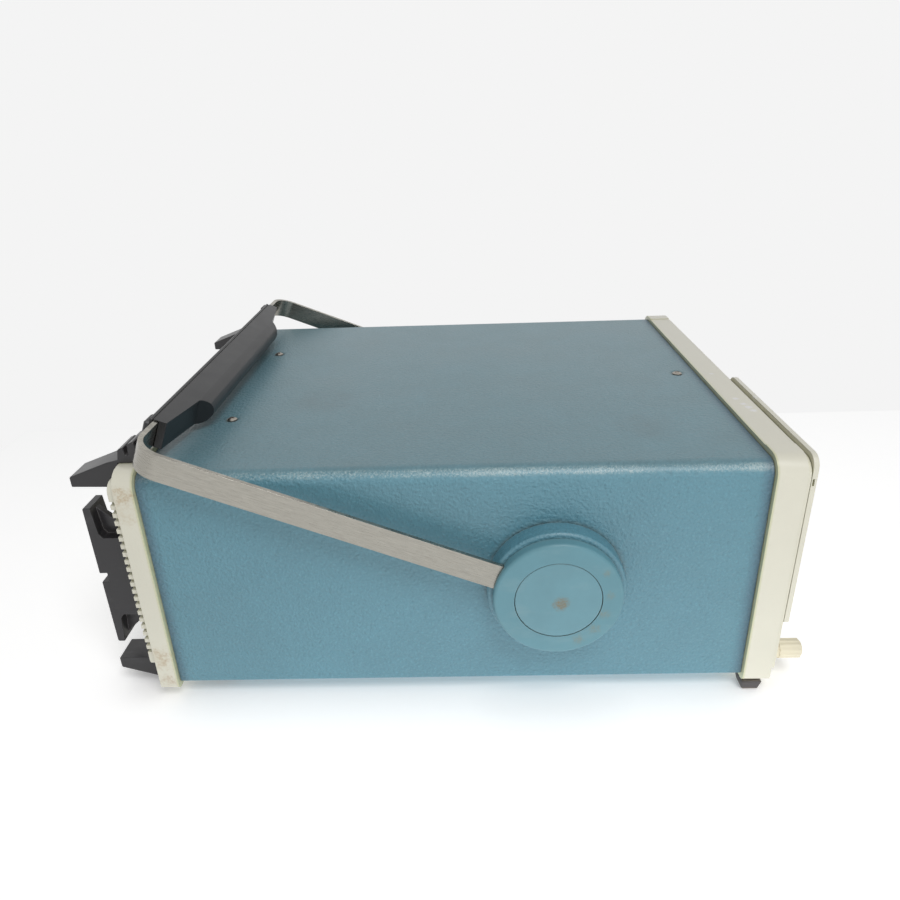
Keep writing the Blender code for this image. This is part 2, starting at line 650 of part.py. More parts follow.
def build_display():
    """The stepped bezel, its window and the picture tube behind it."""
    left = -FRAME_HALF_WIDTH + PANEL_INSET
    outline = rounded_outline(left, BEZEL_RIGHT, BEZEL_BOTTOM, FRAME_TOP - 0.0003, 0.002, 0.008)
    bezel = across_y("display_bezel", outline, BEZEL_FACE, BEZEL_REAR, "ivory_enamel")
    add_bevel(bezel, 0.0006)
    cut(bezel, across_y("bezel_window", window_outline(0), BEZEL_FACE - 0.01, BEZEL_REAR + 0.01))
    slot_top = FRAME_TOP - BEZEL_SLOT_TOP
    slot_rear = BEZEL_REAR - 0.0006
    cut(bezel, box("bezel_slot", (left - 0.01, slot_rear - BEZEL_SLOT_WIDTH, slot_top - BEZEL_SLOT_HEIGHT),
                   (left + BEZEL_SLOT_DEPTH, slot_rear, slot_top)))
    shade(bezel)

    window = across_y("display_window", window_outline(SEAT_GAP), PANEL_REAR - WINDOW_SHEET, PANEL_REAR,
                      "green_glass")
    shade(window)

    corners = window_outline(-TUBE_MARGIN)
    left, right = min(x for x, _ in corners), max(x for x, _ in corners)
    bottom, top = min(z for _, z in corners), max(z for _, z in corners)
    middle_x, middle_z = (left + right) / 2, (bottom + top) / 2
    face = PANEL_REAR + SEAT_GAP
    bm = bmesh.new()
    bmesh.ops.create_cone(bm, cap_ends=True, segments=4, radius1=math.sqrt(0.5),
                          radius2=math.sqrt(0.5) * TUBE_TAPER, depth=TUBE_LENGTH)
    bmesh.ops.rotate(bm, verts=bm.verts, matrix=Matrix.Rotation(math.radians(45), 3, "Z"))
    bmesh.ops.rotate(bm, verts=bm.verts, matrix=Matrix.Rotation(math.radians(-90), 3, "X"))
    bmesh.ops.scale(bm, verts=bm.verts, vec=(right - left, 1, top - bottom))
    mesh = bpy.data.meshes.new("picture_tube")
    bm.to_mesh(mesh)
    bm.free()
    tube = new_object("picture_tube", mesh, "grey_moulding",
                      location=(middle_x, face + TUBE_LENGTH / 2, middle_z))
    add_bevel(tube, 0.004, 1, 30)
    neck_start = face + TUBE_LENGTH - 0.01
    join(tube, cylinder("tube_neck", TUBE_NECK_RADIUS, (middle_x, neck_start, middle_z),
                        (middle_x, neck_start + TUBE_NECK_LENGTH, middle_z)))
    shade(tube)


def build_keys():
    """Every push key, each free to slide in its hole."""
    for name, (x, z) in key_places().items():
        low = (x - KEY_WIDTH / 2, PANEL_FACE - KEY_PROUD, z - KEY_HEIGHT / 2)
        high = (x + KEY_WIDTH / 2, PANEL_REAR + KEY_STEM, z + KEY_HEIGHT / 2)
        box(name, low, high, "grey_moulding" if name == "power_key" else "ivory_moulding",
            bevel=0.0009)


def fluted_outline(radius, flutes, depth):
    """A knob's fluted section, four points to a flute."""
    points = []
    for index in range(flutes * 4):
        angle = math.tau * index / (flutes * 4)
        reach = radius - depth if index % 4 in (2, 3) else radius
        points.append((reach * math.cos(angle), reach * math.sin(angle)))
    return points


def fluted_knob(name, radius, skirt, length, shaft, flutes, paint, flare=1.1):
    """A knob: shaft, smooth skirt and a fluted grip; the flare is the skirt's radius over the grip's."""
    x, z = knob_places()[name]
    axis = new_empty(f"{name}_axis", (x, PANEL_FACE - SEAT_GAP, z), (math.radians(90), 0, 0), CABINET_FRAME)
    top = skirt + length
    knob = prism(name, fluted_outline(radius, flutes, radius * 0.06), length - 0.001, paint, axis,
                 (0, 0, skirt + (length - 0.001) / 2))
    profile = ((0, top), (radius * 0.8, top), (radius * 0.9, top - 0.0012), (radius * 0.88, skirt),
               (radius * (flare - 0.04), skirt), (radius * flare, 0), (SHAFT_RADIUS, 0),
               (SHAFT_RADIUS, -shaft), (0, -shaft))
    join(knob, turned(f"{name}_core", profile, steps=SMALL_STEPS, parent=axis))
    shade(knob)


def build_knobs():
    """The focus knob, the frequency dial and the three trim knobs."""
    shaft = PANEL_SHEET + SEAT_GAP + SHAFT_REACH
    fluted_knob("focus_knob", FOCUS_KNOB_RADIUS, FOCUS_KNOB_COLLAR, FOCUS_KNOB_LENGTH, PANEL_SHEET, 12,
                "ivory_moulding", 0.96)
    fluted_knob("frequency_dial", DIAL_RADIUS, DIAL_SKIRT, DIAL_LENGTH - DIAL_SKIRT, shaft, 18,
                "grey_moulding")
    for name in TRIM_KNOBS:
        fluted_knob(name, TRIM_KNOB_RADIUS, TRIM_KNOB_SKIRT, TRIM_KNOB_LENGTH - TRIM_KNOB_SKIRT, shaft, 10,
                    "grey_moulding")


def build_sockets():
    """Three coaxial sockets along the foot of the front panel."""
    bore = SOCKET_RADIUS - SOCKET_WALL
    profile = ((0, SOCKET_LENGTH), (SOCKET_RADIUS, SOCKET_LENGTH), (SOCKET_RADIUS, 0.0025),
               (SOCKET_FLANGE, 0.0025), (SOCKET_FLANGE, SEAT_GAP), (SOCKET_RADIUS, SEAT_GAP),
               (SOCKET_RADIUS, -SOCKET_TAIL), (0, -SOCKET_TAIL))
    for name, x in SOCKETS.items():
        socket = turned(name, profile, "bright_metal", SMALL_STEPS, location=(x, PANEL_FACE, SOCKET_Z),
                        rotation=(math.radians(90), 0, 0))
        lug = cylinder(f"{name}_lugs", 0.0009, (x - SOCKET_RADIUS - 0.0011, PANEL_FACE - 0.0095, SOCKET_Z),
                       (x + SOCKET_RADIUS + 0.0011, PANEL_FACE - 0.0095, SOCKET_Z), 8)
        join(socket, lug)
        cut(socket, cylinder(f"{name}_bore", bore, (x, PANEL_FACE - SOCKET_LENGTH - 0.01, SOCKET_Z),
                             (x, PANEL_FACE - 0.002, SOCKET_Z)))


def build_hubs():
    """The two fixed hub bases, screwed to the sides of the sleeve."""
    round_off = 0.002
    profile = [(HUB_BORE_RADIUS, HUB_BASE_DEPTH)]
    profile += [(HUB_BASE_RADIUS - round_off + x, HUB_BASE_DEPTH - round_off + z)
                for x, z in arc((0, 0), round_off, 90, 0, 2)]
    profile += [(HUB_BASE_RADIUS, 0), (HUB_BORE_RADIUS, 0)]
    for side, sign in (("left", -1), ("right", 1)):
        turned(f"hub_base_{side}", profile, "blue_moulding",
               location=(sign * (HALF_WIDTH + SEAT_GAP), PIVOT_Y, PIVOT_Z),
               rotation=(0, math.radians(sign * 90), 0))


def strip_outline():
    """The handle's flat strip: two arms, two bends and the cross bar, in the handle's plane."""
    outer_x = ARM_BACK + STRIP_SHEET
    inner_bend = STRIP_BEND - STRIP_SHEET
    middle = (outer_x - STRIP_BEND, HANDLE_REACH - STRIP_BEND)
    outer = arc(middle, STRIP_BEND, 0, 90, 8)
    inner = arc(middle, inner_bend, 90, 0, 8)
    right = [(outer_x, STRIP_START)] + outer
    left = [(-x, y) for x, y in reversed(right)]
    inner_left = [(-x, y) for x, y in reversed(inner)]
    inner_right = inner + [(outer_x - STRIP_SHEET, STRIP_START)]
    return right + left + [(-(outer_x - STRIP_SHEET), STRIP_START)] + inner_left + inner_right


def grip_outline():
    """The grip's plan: a thick middle, a shoulder and two thinning ends."""
    shoulder = GRIP_MIDDLE_HALF + GRIP_SHOULDER
    right = [(GRIP_HALF_LENGTH, HANDLE_REACH), (GRIP_HALF_LENGTH, GRIP_BACK - GRIP_END_DEPTH),
             (shoulder, GRIP_BACK - GRIP_SHOULDER_DEPTH), (GRIP_MIDDLE_HALF, GRIP_INNER)]
    left = [(-x, y) for x, y in reversed(right)]
    return right + left


def grip_section():
    """The grip's section in the strip's own (reach, width) plane: flat outside, round inside."""
    middle = GRIP_INNER + GRIP_HALF_WIDTH
    return ([(HANDLE_REACH, -GRIP_HALF_WIDTH), (HANDLE_REACH, GRIP_HALF_WIDTH)]
            + arc((middle, 0), GRIP_HALF_WIDTH, 90, 270, 12))


def build_handle():
    """The carrying handle: strip, grip, cover strip, hub caps and release buttons."""
    axis = new_empty("handle_axis", (0, PIVOT_Y, PIVOT_Z), (HANDLE_REST_ANGLE, 0, 0), CABINET_FRAME)
    strip = prism("handle_strip", strip_outline(), STRIP_WIDTH, "brushed_steel", axis)
    add_bevel(strip, 0.0004, 1, 60)
    shade(strip)

    grip = prism("handle_grip", grip_outline(), GRIP_HALF_WIDTH * 4, "black_moulding", axis)
    section = prism("grip_section", grip_section(), GRIP_HALF_LENGTH * 2 - 0.0001, parent=axis,
                    rotation=(math.radians(90), 0, math.radians(90)))
    combine(grip, section, "INTERSECT")
    add_bevel(grip, 0.0007, 1, 60)
    half = STRIP_WIDTH / 2 + SEAT_GAP
    cut(grip, box("strip_channel", (-GRIP_HALF_LENGTH - 0.01, GRIP_BACK, -half),
                  (GRIP_HALF_LENGTH + 0.01, HANDLE_REACH + 0.01, half), parent=axis))
    shade(grip, 40)

    front = HANDLE_REACH + SEAT_GAP
    cover = box("grip_cover", (-GRIP_HALF_LENGTH, front, -GRIP_HALF_WIDTH),
                (GRIP_HALF_LENGTH, front + GRIP_COVER_DEPTH, GRIP_HALF_WIDTH), "black_moulding", 0.0006, axis)
    outer = GRIP_HALF_LENGTH + GRIP_CLAMP_OVERHANG
    half = GRIP_HALF_WIDTH - 0.002
    for side, sign in (("left", -1), ("right", 1)):
        left, right = mirrored_span(sign, outer, GRIP_CLAMP_LENGTH)
        join(cover, box(f"clamp_{side}", (left, front + 0.0005, -half),
                        (right, front + GRIP_CLAMP_DEPTH, half), bevel=0.001, parent=axis))
    for side, sign in (("left", -1), ("right", 1)):
        build_hub_cap(side, sign, axis)
        build_release_button(side, sign, axis)


def build_hub_cap(side, sign, axis):
    """A hub cap: it turns in the hub base, holds the end of an arm and guides a button."""
    round_off = 0.0022
    bore = BUTTON_STEM_RADIUS + RUNNING_GAP
    pocket = BUTTON_RADIUS + RUNNING_GAP
    profile = [(pocket, HUB_CAP_DEPTH)]
    profile += [(HUB_CAP_RADIUS - round_off + x, HUB_CAP_DEPTH - round_off + z)
                for x, z in arc((0, 0), round_off, 90, 0, 3)]
    profile += [(HUB_CAP_RADIUS, 0), (HUB_BORE_RADIUS - RUNNING_GAP, 0),
                (HUB_BORE_RADIUS - RUNNING_GAP, -SPIGOT_LENGTH), (bore, -SPIGOT_LENGTH),
                (bore, HUB_CAP_FLOOR), (pocket, HUB_CAP_FLOOR)]
    cap = turned(f"hub_cap_{side}", profile, "blue_moulding", parent=axis, location=(sign * CAP_BACK, 0, 0),
                 rotation=(0, math.radians(sign * 90), 0))
    deep = sign * (ARM_BACK + STRIP_SHEET + SEAT_GAP)
    shallow = sign * (CAP_BACK - 0.001)
    half = STRIP_WIDTH / 2 + SEAT_GAP
    slot = box(f"arm_slot_{side}", (min(deep, shallow), STRIP_START - SEAT_GAP, -half),
               (max(deep, shallow), HUB_CAP_RADIUS + 0.01, half), parent=axis)
    cut(cap, slot)


def build_release_button(side, sign, axis):
    """The disc at the middle of a hub cap, pressed in to let the handle turn."""
    disc_back = HUB_CAP_DEPTH - BUTTON_DISC
    profile = ((0, HUB_CAP_DEPTH), (BUTTON_RADIUS - 0.0005, HUB_CAP_DEPTH),
               (BUTTON_RADIUS, HUB_CAP_DEPTH - 0.0005), (BUTTON_RADIUS, disc_back),
               (BUTTON_STEM_RADIUS, disc_back), (BUTTON_STEM_RADIUS, -BUTTON_STEM_LENGTH),
               (0, -BUTTON_STEM_LENGTH))
    turned(f"release_button_{side}", profile, "blue_moulding", parent=axis, location=(sign * CAP_BACK, 0, 0),
           rotation=(0, math.radians(sign * 90), 0))


def mirrored_span(sign, outer, width):
    """The two x places of a piece whose outer side is given, on one side of the cabinet."""
    places = (sign * outer, sign * (outer - width))
    return min(places), max(places)


def upper_foot_outline():
    """Side view of an upper corner foot: a tapering toe, and a ribbed lug over the frame."""
    seat = COVER_REAR + SEAT_GAP
    lip = FRAME_TOP + SEAT_GAP
    ledge = COVER_TOP + SEAT_GAP
    lug_front = REAR_FRAME_FACE - 0.0120
    return [(seat, lip - 0.0156), (REAR_FOOT_TIP, lip - 0.0150), (REAR_FOOT_TIP, lip - 0.0086),
            (COVER_REAR + 0.0025, lip + 0.0005), (COVER_FRONT, lip + 0.0020),
            (lug_front + 0.0110, lip + 0.0085), (lug_front + 0.0075, lip + 0.0100),
            (lug_front + 0.0068, lip + 0.0050), (lug_front + 0.0054, lip + 0.0050),
            (lug_front + 0.0047, lip + 0.0118), (lug_front + 0.0010, lip + 0.0135),
            (lug_front, lip + 0.0125), (lug_front, lip), (COVER_FRONT, lip), (COVER_FRONT, ledge),
            (seat, ledge)]


def lower_foot_outline():
    """Side view of a lower corner foot, seated on the frame below the cover."""
    sill = FRAME_BOTTOM
    return [(COVER_FRONT, sill + 0.0149), (COVER_FRONT, sill - 0.0037), (COVER_REAR + 0.0040, sill - 0.0008),
            (REAR_FOOT_TIP, sill + 0.0069), (REAR_FOOT_TIP, sill + 0.0146)]


def build_rear_feet():
    """Four tapered corner feet, which the cabinet can stand on, rear down."""
    for side, sign in (("left", -1), ("right", 1)):
        span = mirrored_span(sign, REAR_FOOT_OUTER, REAR_FOOT_WIDTH)
        for level, outline in (("upper", upper_foot_outline()), ("lower", lower_foot_outline())):
            foot = across_x(f"rear_foot_{level}_{side}", outline, *span, "black_moulding")
            add_bevel(foot, 0.0006, 1, 40)
            shade(foot)


def cleat_outline():
    """Side view of a cord cleat: a block with two horns and a notch, mirrored about its middle."""
    seat = COVER_REAR + SEAT_GAP
    outer = COVER_REAR + CLEAT_REACH
    horn = outer - CLEAT_HORN
    tip = CLEAT_HALF_HEIGHT
    body = CLEAT_BODY_HALF_HEIGHT
    upper = [(outer - CLEAT_NOTCH_DEPTH, CLEAT_NOTCH_HALF), (outer, CLEAT_NOTCH_HALF), (outer, tip - 0.0005),
             (outer - 0.0005, tip), (horn, tip), (horn - 0.0015, body + 0.003), (horn - 0.0035, body),
             (seat, body)]
    lower = [(y, -z) for y, z in reversed(upper)]
    return [(y, z + CLEAT_MIDDLE_Z) for y, z in upper + lower]


def cleat_gusset_outline(sign):
    """Side view of the web that braces one horn of a cleat."""
    outer = COVER_REAR + CLEAT_REACH
    body = CLEAT_BODY_HALF_HEIGHT
    knee = COVER_REAR + 0.0100
    points = [(knee, body - 0.004), (knee, body + 0.009),
              (outer - CLEAT_HORN + 0.0005, CLEAT_HALF_HEIGHT - 0.002), (outer - 0.0015, body - 0.004)]
    return [(y, sign * z + CLEAT_MIDDLE_Z) for y, z in points]


def build_cleats():
    """Two cleats on the rear cover that the mains lead is wound round."""
    for side, sign in (("left", -1), ("right", 1)):
        span = mirrored_span(sign, CLEAT_OUTER, CLEAT_WIDTH)
        cleat = across_x(f"cord_cleat_{side}", cleat_outline(), *span, "black_moulding")
        middle = sum(span) / 2
        web = (middle - CLEAT_GUSSET_SHEET / 2, middle + CLEAT_GUSSET_SHEET / 2)
        for level, direction in (("upper", 1), ("lower", -1)):
            join(cleat, across_x(f"cleat_web_{level}_{side}", cleat_gusset_outline(direction), *web))
        shade(cleat)


def build_cabinet_feet():
    """Rubber feet: two under the front frame and two under the rear of the sleeve."""
    for side, sign in (("left", -1), ("right", 1)):
        left, right = mirrored_span(sign, FRAME_HALF_WIDTH, FOOT_WIDTH)
        tapered_block(f"front_foot_{side}", (left, 0.0003 - FOOT_DEPTH, FLOOR),
                      (right, 0.0003, FRAME_BOTTOM - SEAT_GAP), FOOT_TAPER, "dark_rubber")
        left, right = mirrored_span(sign, REAR_PAD_OUTER, FOOT_WIDTH)
        tapered_block(f"rear_pad_{side}", (left, REAR_PAD_Y - FOOT_WIDTH / 2, FLOOR),
                      (right, REAR_PAD_Y + FOOT_WIDTH / 2, -SEAT_GAP), FOOT_TAPER, "dark_rubber")


def edge_slot(name, sign, z):
    """Cutters of one vent: a notch through the cover's edge, and a deeper slot behind it."""
    bottom, top = z - SIDE_SLOT_HEIGHT / 2, z + SIDE_SLOT_HEIGHT / 2
    outside = sign * (COVER_HALF_WIDTH + 0.005)
    notch = sign * (COVER_HALF_WIDTH - SIDE_SLOT_DEPTH)
    deep = sign * (COVER_HALF_WIDTH - SIDE_VENT_DEPTH)
    return [box(f"edge_notch_{name}", (min(notch, outside), COVER_FRONT - 0.005, bottom),
                (max(notch, outside), COVER_REAR + 0.005, top)),
            box(f"edge_vent_{name}", (min(deep, notch), COVER_FRONT - 0.005, bottom),
                (max(deep, notch), COVER_FRONT + SIDE_VENT_WIDTH, top))]


def build_rear_cover():
    """The rear cover: vented edges, a fan grille and the cut-out for the mains inlet."""
    outline = rounded_outline(-COVER_HALF_WIDTH, COVER_HALF_WIDTH, COVER_BOTTOM, COVER_TOP, 0.004, 0.007)
    cover = across_y("rear_cover", outline, COVER_FRONT, COVER_REAR, "ivory_enamel")
    add_bevel(cover, COVER_EDGE)
    slots = []
    for index in range(SIDE_SLOT_COUNT):
        z = COVER_BOTTOM + SIDE_SLOT_MARGIN + SIDE_SLOT_PITCH * index
        for side, sign in (("left", -1), ("right", 1)):
            slots += edge_slot(f"{side}_{index}", sign, z)
    for row in range(-GRILLE_ROWS, GRILLE_ROWS + 1):
        rise = row * GRILLE_PITCH
        reach = math.sqrt(FAN_BORE ** 2 - rise ** 2) - GRILLE_MARGIN
        slots.append(box(f"grille_slot_{row + GRILLE_ROWS}",
                         (FAN_X - reach, COVER_FRONT - 0.005, FAN_Z + rise - GRILLE_HEIGHT / 2),
                         (FAN_X + reach, COVER_REAR + 0.005, FAN_Z + rise + GRILLE_HEIGHT / 2)))
    half_width = INLET_WIDTH / 2 + SEAT_GAP
    half_height = INLET_HEIGHT / 2 + SEAT_GAP
    slots.append(box("inlet_hole", (INLET_X - half_width, COVER_FRONT - 0.005, INLET_Z - half_height),
                     (INLET_X + half_width, COVER_REAR + 0.005, INLET_Z + half_height)))
    cut(cover, *slots)
    shade(cover)


def build_inlet():
    """The mains inlet: a flange outside the cover and a hollow body through it."""
    half_width, half_height = INLET_WIDTH / 2, INLET_HEIGHT / 2
    face = COVER_REAR + SEAT_GAP + INLET_PROUD
    inlet = box("power_inlet", (INLET_X - half_width, COVER_REAR - INLET_DEPTH, INLET_Z - half_height),
                (INLET_X + half_width, face, INLET_Z + half_height), "black_moulding")
    flange_width, flange_height = half_width + INLET_FLANGE, half_height + INLET_FLANGE
    join(inlet, box("inlet_flange", (INLET_X - flange_width, COVER_REAR + SEAT_GAP, INLET_Z - flange_height),
                    (INLET_X + flange_width, face - 0.0002, INLET_Z + flange_height)))
    floor = face - INLET_DEPTH + 0.006
    mouth_width, mouth_height = half_width - INLET_WALL, half_height - INLET_WALL
    cut(inlet, box("inlet_hollow", (INLET_X - mouth_width, floor, INLET_Z - mouth_height),
                   (INLET_X + mouth_width, face + 0.01, INLET_Z + mouth_height)))
    for number, (x, z) in enumerate(((-0.007, -0.002), (0.0, 0.002), (0.007, -0.002)), start=1):
        blade = box(f"inlet_blade_{number}", (INLET_X + x - 0.001, floor - 0.001, INLET_Z + z - 0.002),
                    (INLET_X + x + 0.001, face - 0.004, INLET_Z + z + 0.002))
        join(inlet, blade)


def build_fan():
    """The cooling fan: its square housing on the cover, and a bladed rotor."""
    rear = COVER_FRONT - SEAT_GAP
    front = rear - FAN_DEPTH
    half = FAN_SIZE / 2
    housing = box("fan_housing", (FAN_X - half, front, FAN_Z - half), (FAN_X + half, rear, FAN_Z + half),
                  "grey_moulding", 0.002)
    cut(housing, cylinder("fan_bore", FAN_BORE, (FAN_X, front - 0.01, FAN_Z), (FAN_X, rear + 0.01, FAN_Z),
                          ROUND_STEPS))
    spoke_half = (FAN_BORE + 0.002, FAN_SPOKE_SHEET / 2, FAN_SPOKE_WIDTH / 2)
    for turn in (45, 135):
        spoke = box(f"fan_spoke_{turn}", [-size for size in spoke_half], spoke_half)
        spoke.location = (FAN_X, front + FAN_SPOKE_SHEET / 2, FAN_Z)
        spoke.rotation_euler = (0, math.radians(turn), 0)
        join(housing, spoke)
    join(housing, cylinder("fan_motor", FAN_HUB_RADIUS, (FAN_X, front, FAN_Z),
                           (FAN_X, front + 0.0025, FAN_Z)))
    join(housing, cylinder("fan_pin", FAN_PIN_RADIUS, (FAN_X, front + 0.001, FAN_Z),
                           (FAN_X, front + 0.010, FAN_Z), HIDDEN_STEPS))

    axis = new_empty("fan_axis", (FAN_X, front + 0.0035, FAN_Z), (math.radians(-90), 0, 0), CABINET_FRAME)
    depth = FAN_DEPTH - 0.0065
    bore = FAN_PIN_RADIUS + RUNNING_GAP
    bore_depth = 0.008
    profile = ((0, depth), (FAN_HUB_RADIUS - 0.001, depth), (FAN_HUB_RADIUS, depth - 0.001),
               (FAN_HUB_RADIUS, 0), (bore, 0), (bore, bore_depth), (0, bore_depth))
    rotor = turned("fan_rotor", profile, "black_moulding", SMALL_STEPS, axis)
    root = FAN_HUB_RADIUS - 0.001
    tip = FAN_BORE - FAN_TIP_GAP
    half = (FAN_BLADE_SHEET / 2, (tip - root) / 2, FAN_BLADE_CHORD / 2)
    middle = (tip + root) / 2
    for index in range(FAN_BLADES):
        turn = math.tau * index / FAN_BLADES
        blade = box(f"fan_blade_{index}", [-size for size in half], half, parent=axis)
        blade.location = (-middle * math.sin(turn), middle * math.cos(turn), depth / 2)
        blade.rotation_euler = (0, math.radians(FAN_BLADE_TILT), turn)
        join(rotor, blade)


def build_tray():
    """The chassis tray inside the sleeve, with bosses for the main board."""
    side = HALF_WIDTH - SLEEVE_SHEET - SEAT_GAP
    bottom = SLEEVE_SHEET + SEAT_GAP
    front, rear = SEAT_GAP, SLEEVE_LENGTH - SEAT_GAP
    radius = TRAY_BEND
    outer = (arc((-side + radius, bottom + radius), radius, 180, 270)
             + arc((side - radius, bottom + radius), radius, 270, 360))
    inner_radius = radius - TRAY_SHEET
    inner = (arc((side - radius, bottom + radius), inner_radius, 360, 270)
             + arc((-side + radius, bottom + radius), inner_radius, 270, 180))
    top = bottom + TRAY_FLANGE
    outline = ([(-side, top)] + outer + [(side, top), (side - TRAY_SHEET, top)] + inner
               + [(-side + TRAY_SHEET, top)])
    tray = across_y("chassis_tray", outline, front, rear, "alloy_sheet")
    floor = bottom + TRAY_SHEET
    for number, (x, y) in enumerate(board_corners(), start=1):
        join(tray, cylinder(f"board_boss_{number}", BOSS_RADIUS, (x, y, floor - 0.0005),
                            (x, y, floor + BOSS_HEIGHT), HIDDEN_STEPS))
    shade(tray)
    return floor


def board_corners():
    """Places of the four bosses under the main board."""
    return [(x, y) for x in (BOARD_LOW[0] + BOARD_BOSS_INSET, BOARD_HIGH[0] - BOARD_BOSS_INSET)
            for y in (BOARD_LOW[1] + BOARD_BOSS_INSET, BOARD_HIGH[1] - BOARD_BOSS_INSET)]


def build_boards():
    """The main board on the tray's bosses, the power supply and the control board."""
    floor = build_tray()
    base = floor + BOSS_HEIGHT + SEAT_GAP
    board = box("main_board", (*BOARD_LOW, base), (*BOARD_HIGH, base + BOARD_SHEET), "circuit_board")
    top = base + BOARD_SHEET
    for name, (across, along, width, length, height) in BOARD_MODULES.items():
        x, y = BOARD_LOW[0] + across, BOARD_LOW[1] + along
        join(board, box(name, (x, y, top - 0.0005), (x + width, y + length, top + height)))
    box("power_supply", (*SUPPLY_LOW, floor + SEAT_GAP), (*SUPPLY_HIGH, floor + SEAT_GAP + SUPPLY_HEIGHT),
        "alloy_sheet", 0.002)

    back = -(FRONT_FRAME_DEPTH - CONTROL_BOARD_BACK)
    board = box("control_board", (CONTROL_BOARD_LEFT, back - BOARD_SHEET, CONTROL_BOARD_BOTTOM),
                (HALF_WIDTH - INSIDE_MARGIN, back, SLEEVE_HEIGHT - CONTROL_BOARD_FROM_TOP), "circuit_board")
    reach = PANEL_REAR + SEAT_GAP
    for name in ("frequency_dial", *TRIM_KNOBS):
        x, z = knob_places()[name]
        join(board, cylinder(f"{name}_pot", POT_RADIUS, (x, reach, z), (x, back - 0.0005, z), HIDDEN_STEPS))
        cut(board, cylinder(f"{name}_bore", SHAFT_RADIUS + HOLE_GAP, (x, reach - 0.01, z),
                            (x, PANEL_REAR + SHAFT_REACH + 0.0012, z), HIDDEN_STEPS))


def main():
    """Build every piece."""
    build_sleeve()
    build_lid_screws()
    build_frames()
    build_panel()
    build_display()
    build_keys()
    build_knobs()
    build_sockets()
    build_hubs()
    build_handle()
    build_rear_feet()
    build_cleats()
    build_cabinet_feet()
    build_rear_cover()
    build_inlet()
    build_fan()
    build_boards()
    bpy.context.view_layer.update()


main()
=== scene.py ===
"""Looks of a portable bench function generator.

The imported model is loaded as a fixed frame.  Each sub-assembly is a class that builds its
own small pieces and gives finishes to its nodes.  Sizes are metres and +Z is up; the front
of the cabinet faces -Y and its left side faces -X.
"""

from __future__ import annotations

import logging
import math
from dataclasses import dataclass, field
from enum import Enum
from typing import Sequence

import bmesh
import bpy
from mathutils import Matrix, Vector


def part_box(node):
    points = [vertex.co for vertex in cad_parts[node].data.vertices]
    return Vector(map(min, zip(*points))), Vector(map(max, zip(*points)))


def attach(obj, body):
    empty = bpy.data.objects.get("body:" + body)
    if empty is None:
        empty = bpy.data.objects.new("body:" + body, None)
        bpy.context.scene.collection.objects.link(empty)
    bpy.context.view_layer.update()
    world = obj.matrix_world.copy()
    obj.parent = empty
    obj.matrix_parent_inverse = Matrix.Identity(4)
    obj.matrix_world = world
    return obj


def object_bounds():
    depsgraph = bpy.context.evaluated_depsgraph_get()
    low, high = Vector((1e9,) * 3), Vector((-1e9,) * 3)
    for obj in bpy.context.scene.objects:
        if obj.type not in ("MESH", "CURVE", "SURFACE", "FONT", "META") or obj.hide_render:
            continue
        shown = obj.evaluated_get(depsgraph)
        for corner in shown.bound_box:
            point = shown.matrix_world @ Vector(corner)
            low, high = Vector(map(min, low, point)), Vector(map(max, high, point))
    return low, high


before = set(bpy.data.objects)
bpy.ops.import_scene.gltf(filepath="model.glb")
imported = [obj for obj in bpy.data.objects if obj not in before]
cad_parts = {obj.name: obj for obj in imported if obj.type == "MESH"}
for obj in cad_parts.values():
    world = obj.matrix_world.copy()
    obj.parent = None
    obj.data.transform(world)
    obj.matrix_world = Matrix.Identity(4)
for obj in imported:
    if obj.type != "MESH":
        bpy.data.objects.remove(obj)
CAD_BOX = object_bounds()

LOG = logging.getLogger("function_generator")

Colour = tuple[float, float, float]
Point = tuple[float, float, float]

MM = 0.001
WHITE: Colour = (1.0, 1.0, 1.0)
BLACK: Colour = (0.0, 0.0, 0.0)
BLUE: Colour = (0.106, 0.277, 0.352)
BLUE_PLASTIC: Colour = (0.132, 0.305, 0.365)
IVORY: Colour = (0.775, 0.755, 0.635)
TAN: Colour = (0.47, 0.31, 0.13)
CHIPPED: Colour = (0.95, 0.95, 0.97)

FIRST_COLOUR, SECOND_COLOUR, MIXED_COLOUR = 6, 7, 2
SHADE_SAMPLES = 6
CORNER_RANGE = (0.985, 0.80)
CREASE_RANGE = (0.92, 0.35)
SMOOTH_WEIGHT = 80
SOFT_EDGE_FROM = math.radians(28)
WELD_REACH = 0.001 * MM
ON_AXIS = 0.01 * MM
UNBRUSHED: Point = (1.0, 1.0, 1.0)
FORWARD = Vector((0.0, -1.0, 0.0))
BACKWARD = Vector((0.0, 1.0, 0.0))


class Body(Enum):
    """The bodies that hand-made pieces ride on."""

    CABINET = "cabinet"
    DIAL = "frequency_dial_body"
    AMPLITUDE = "amplitude_knob_body"
    OFFSET = "offset_knob_body"
    SYMMETRY = "symmetry_knob_body"


# ---------------------------------------------------------------------------------------
# Shader building
# ---------------------------------------------------------------------------------------


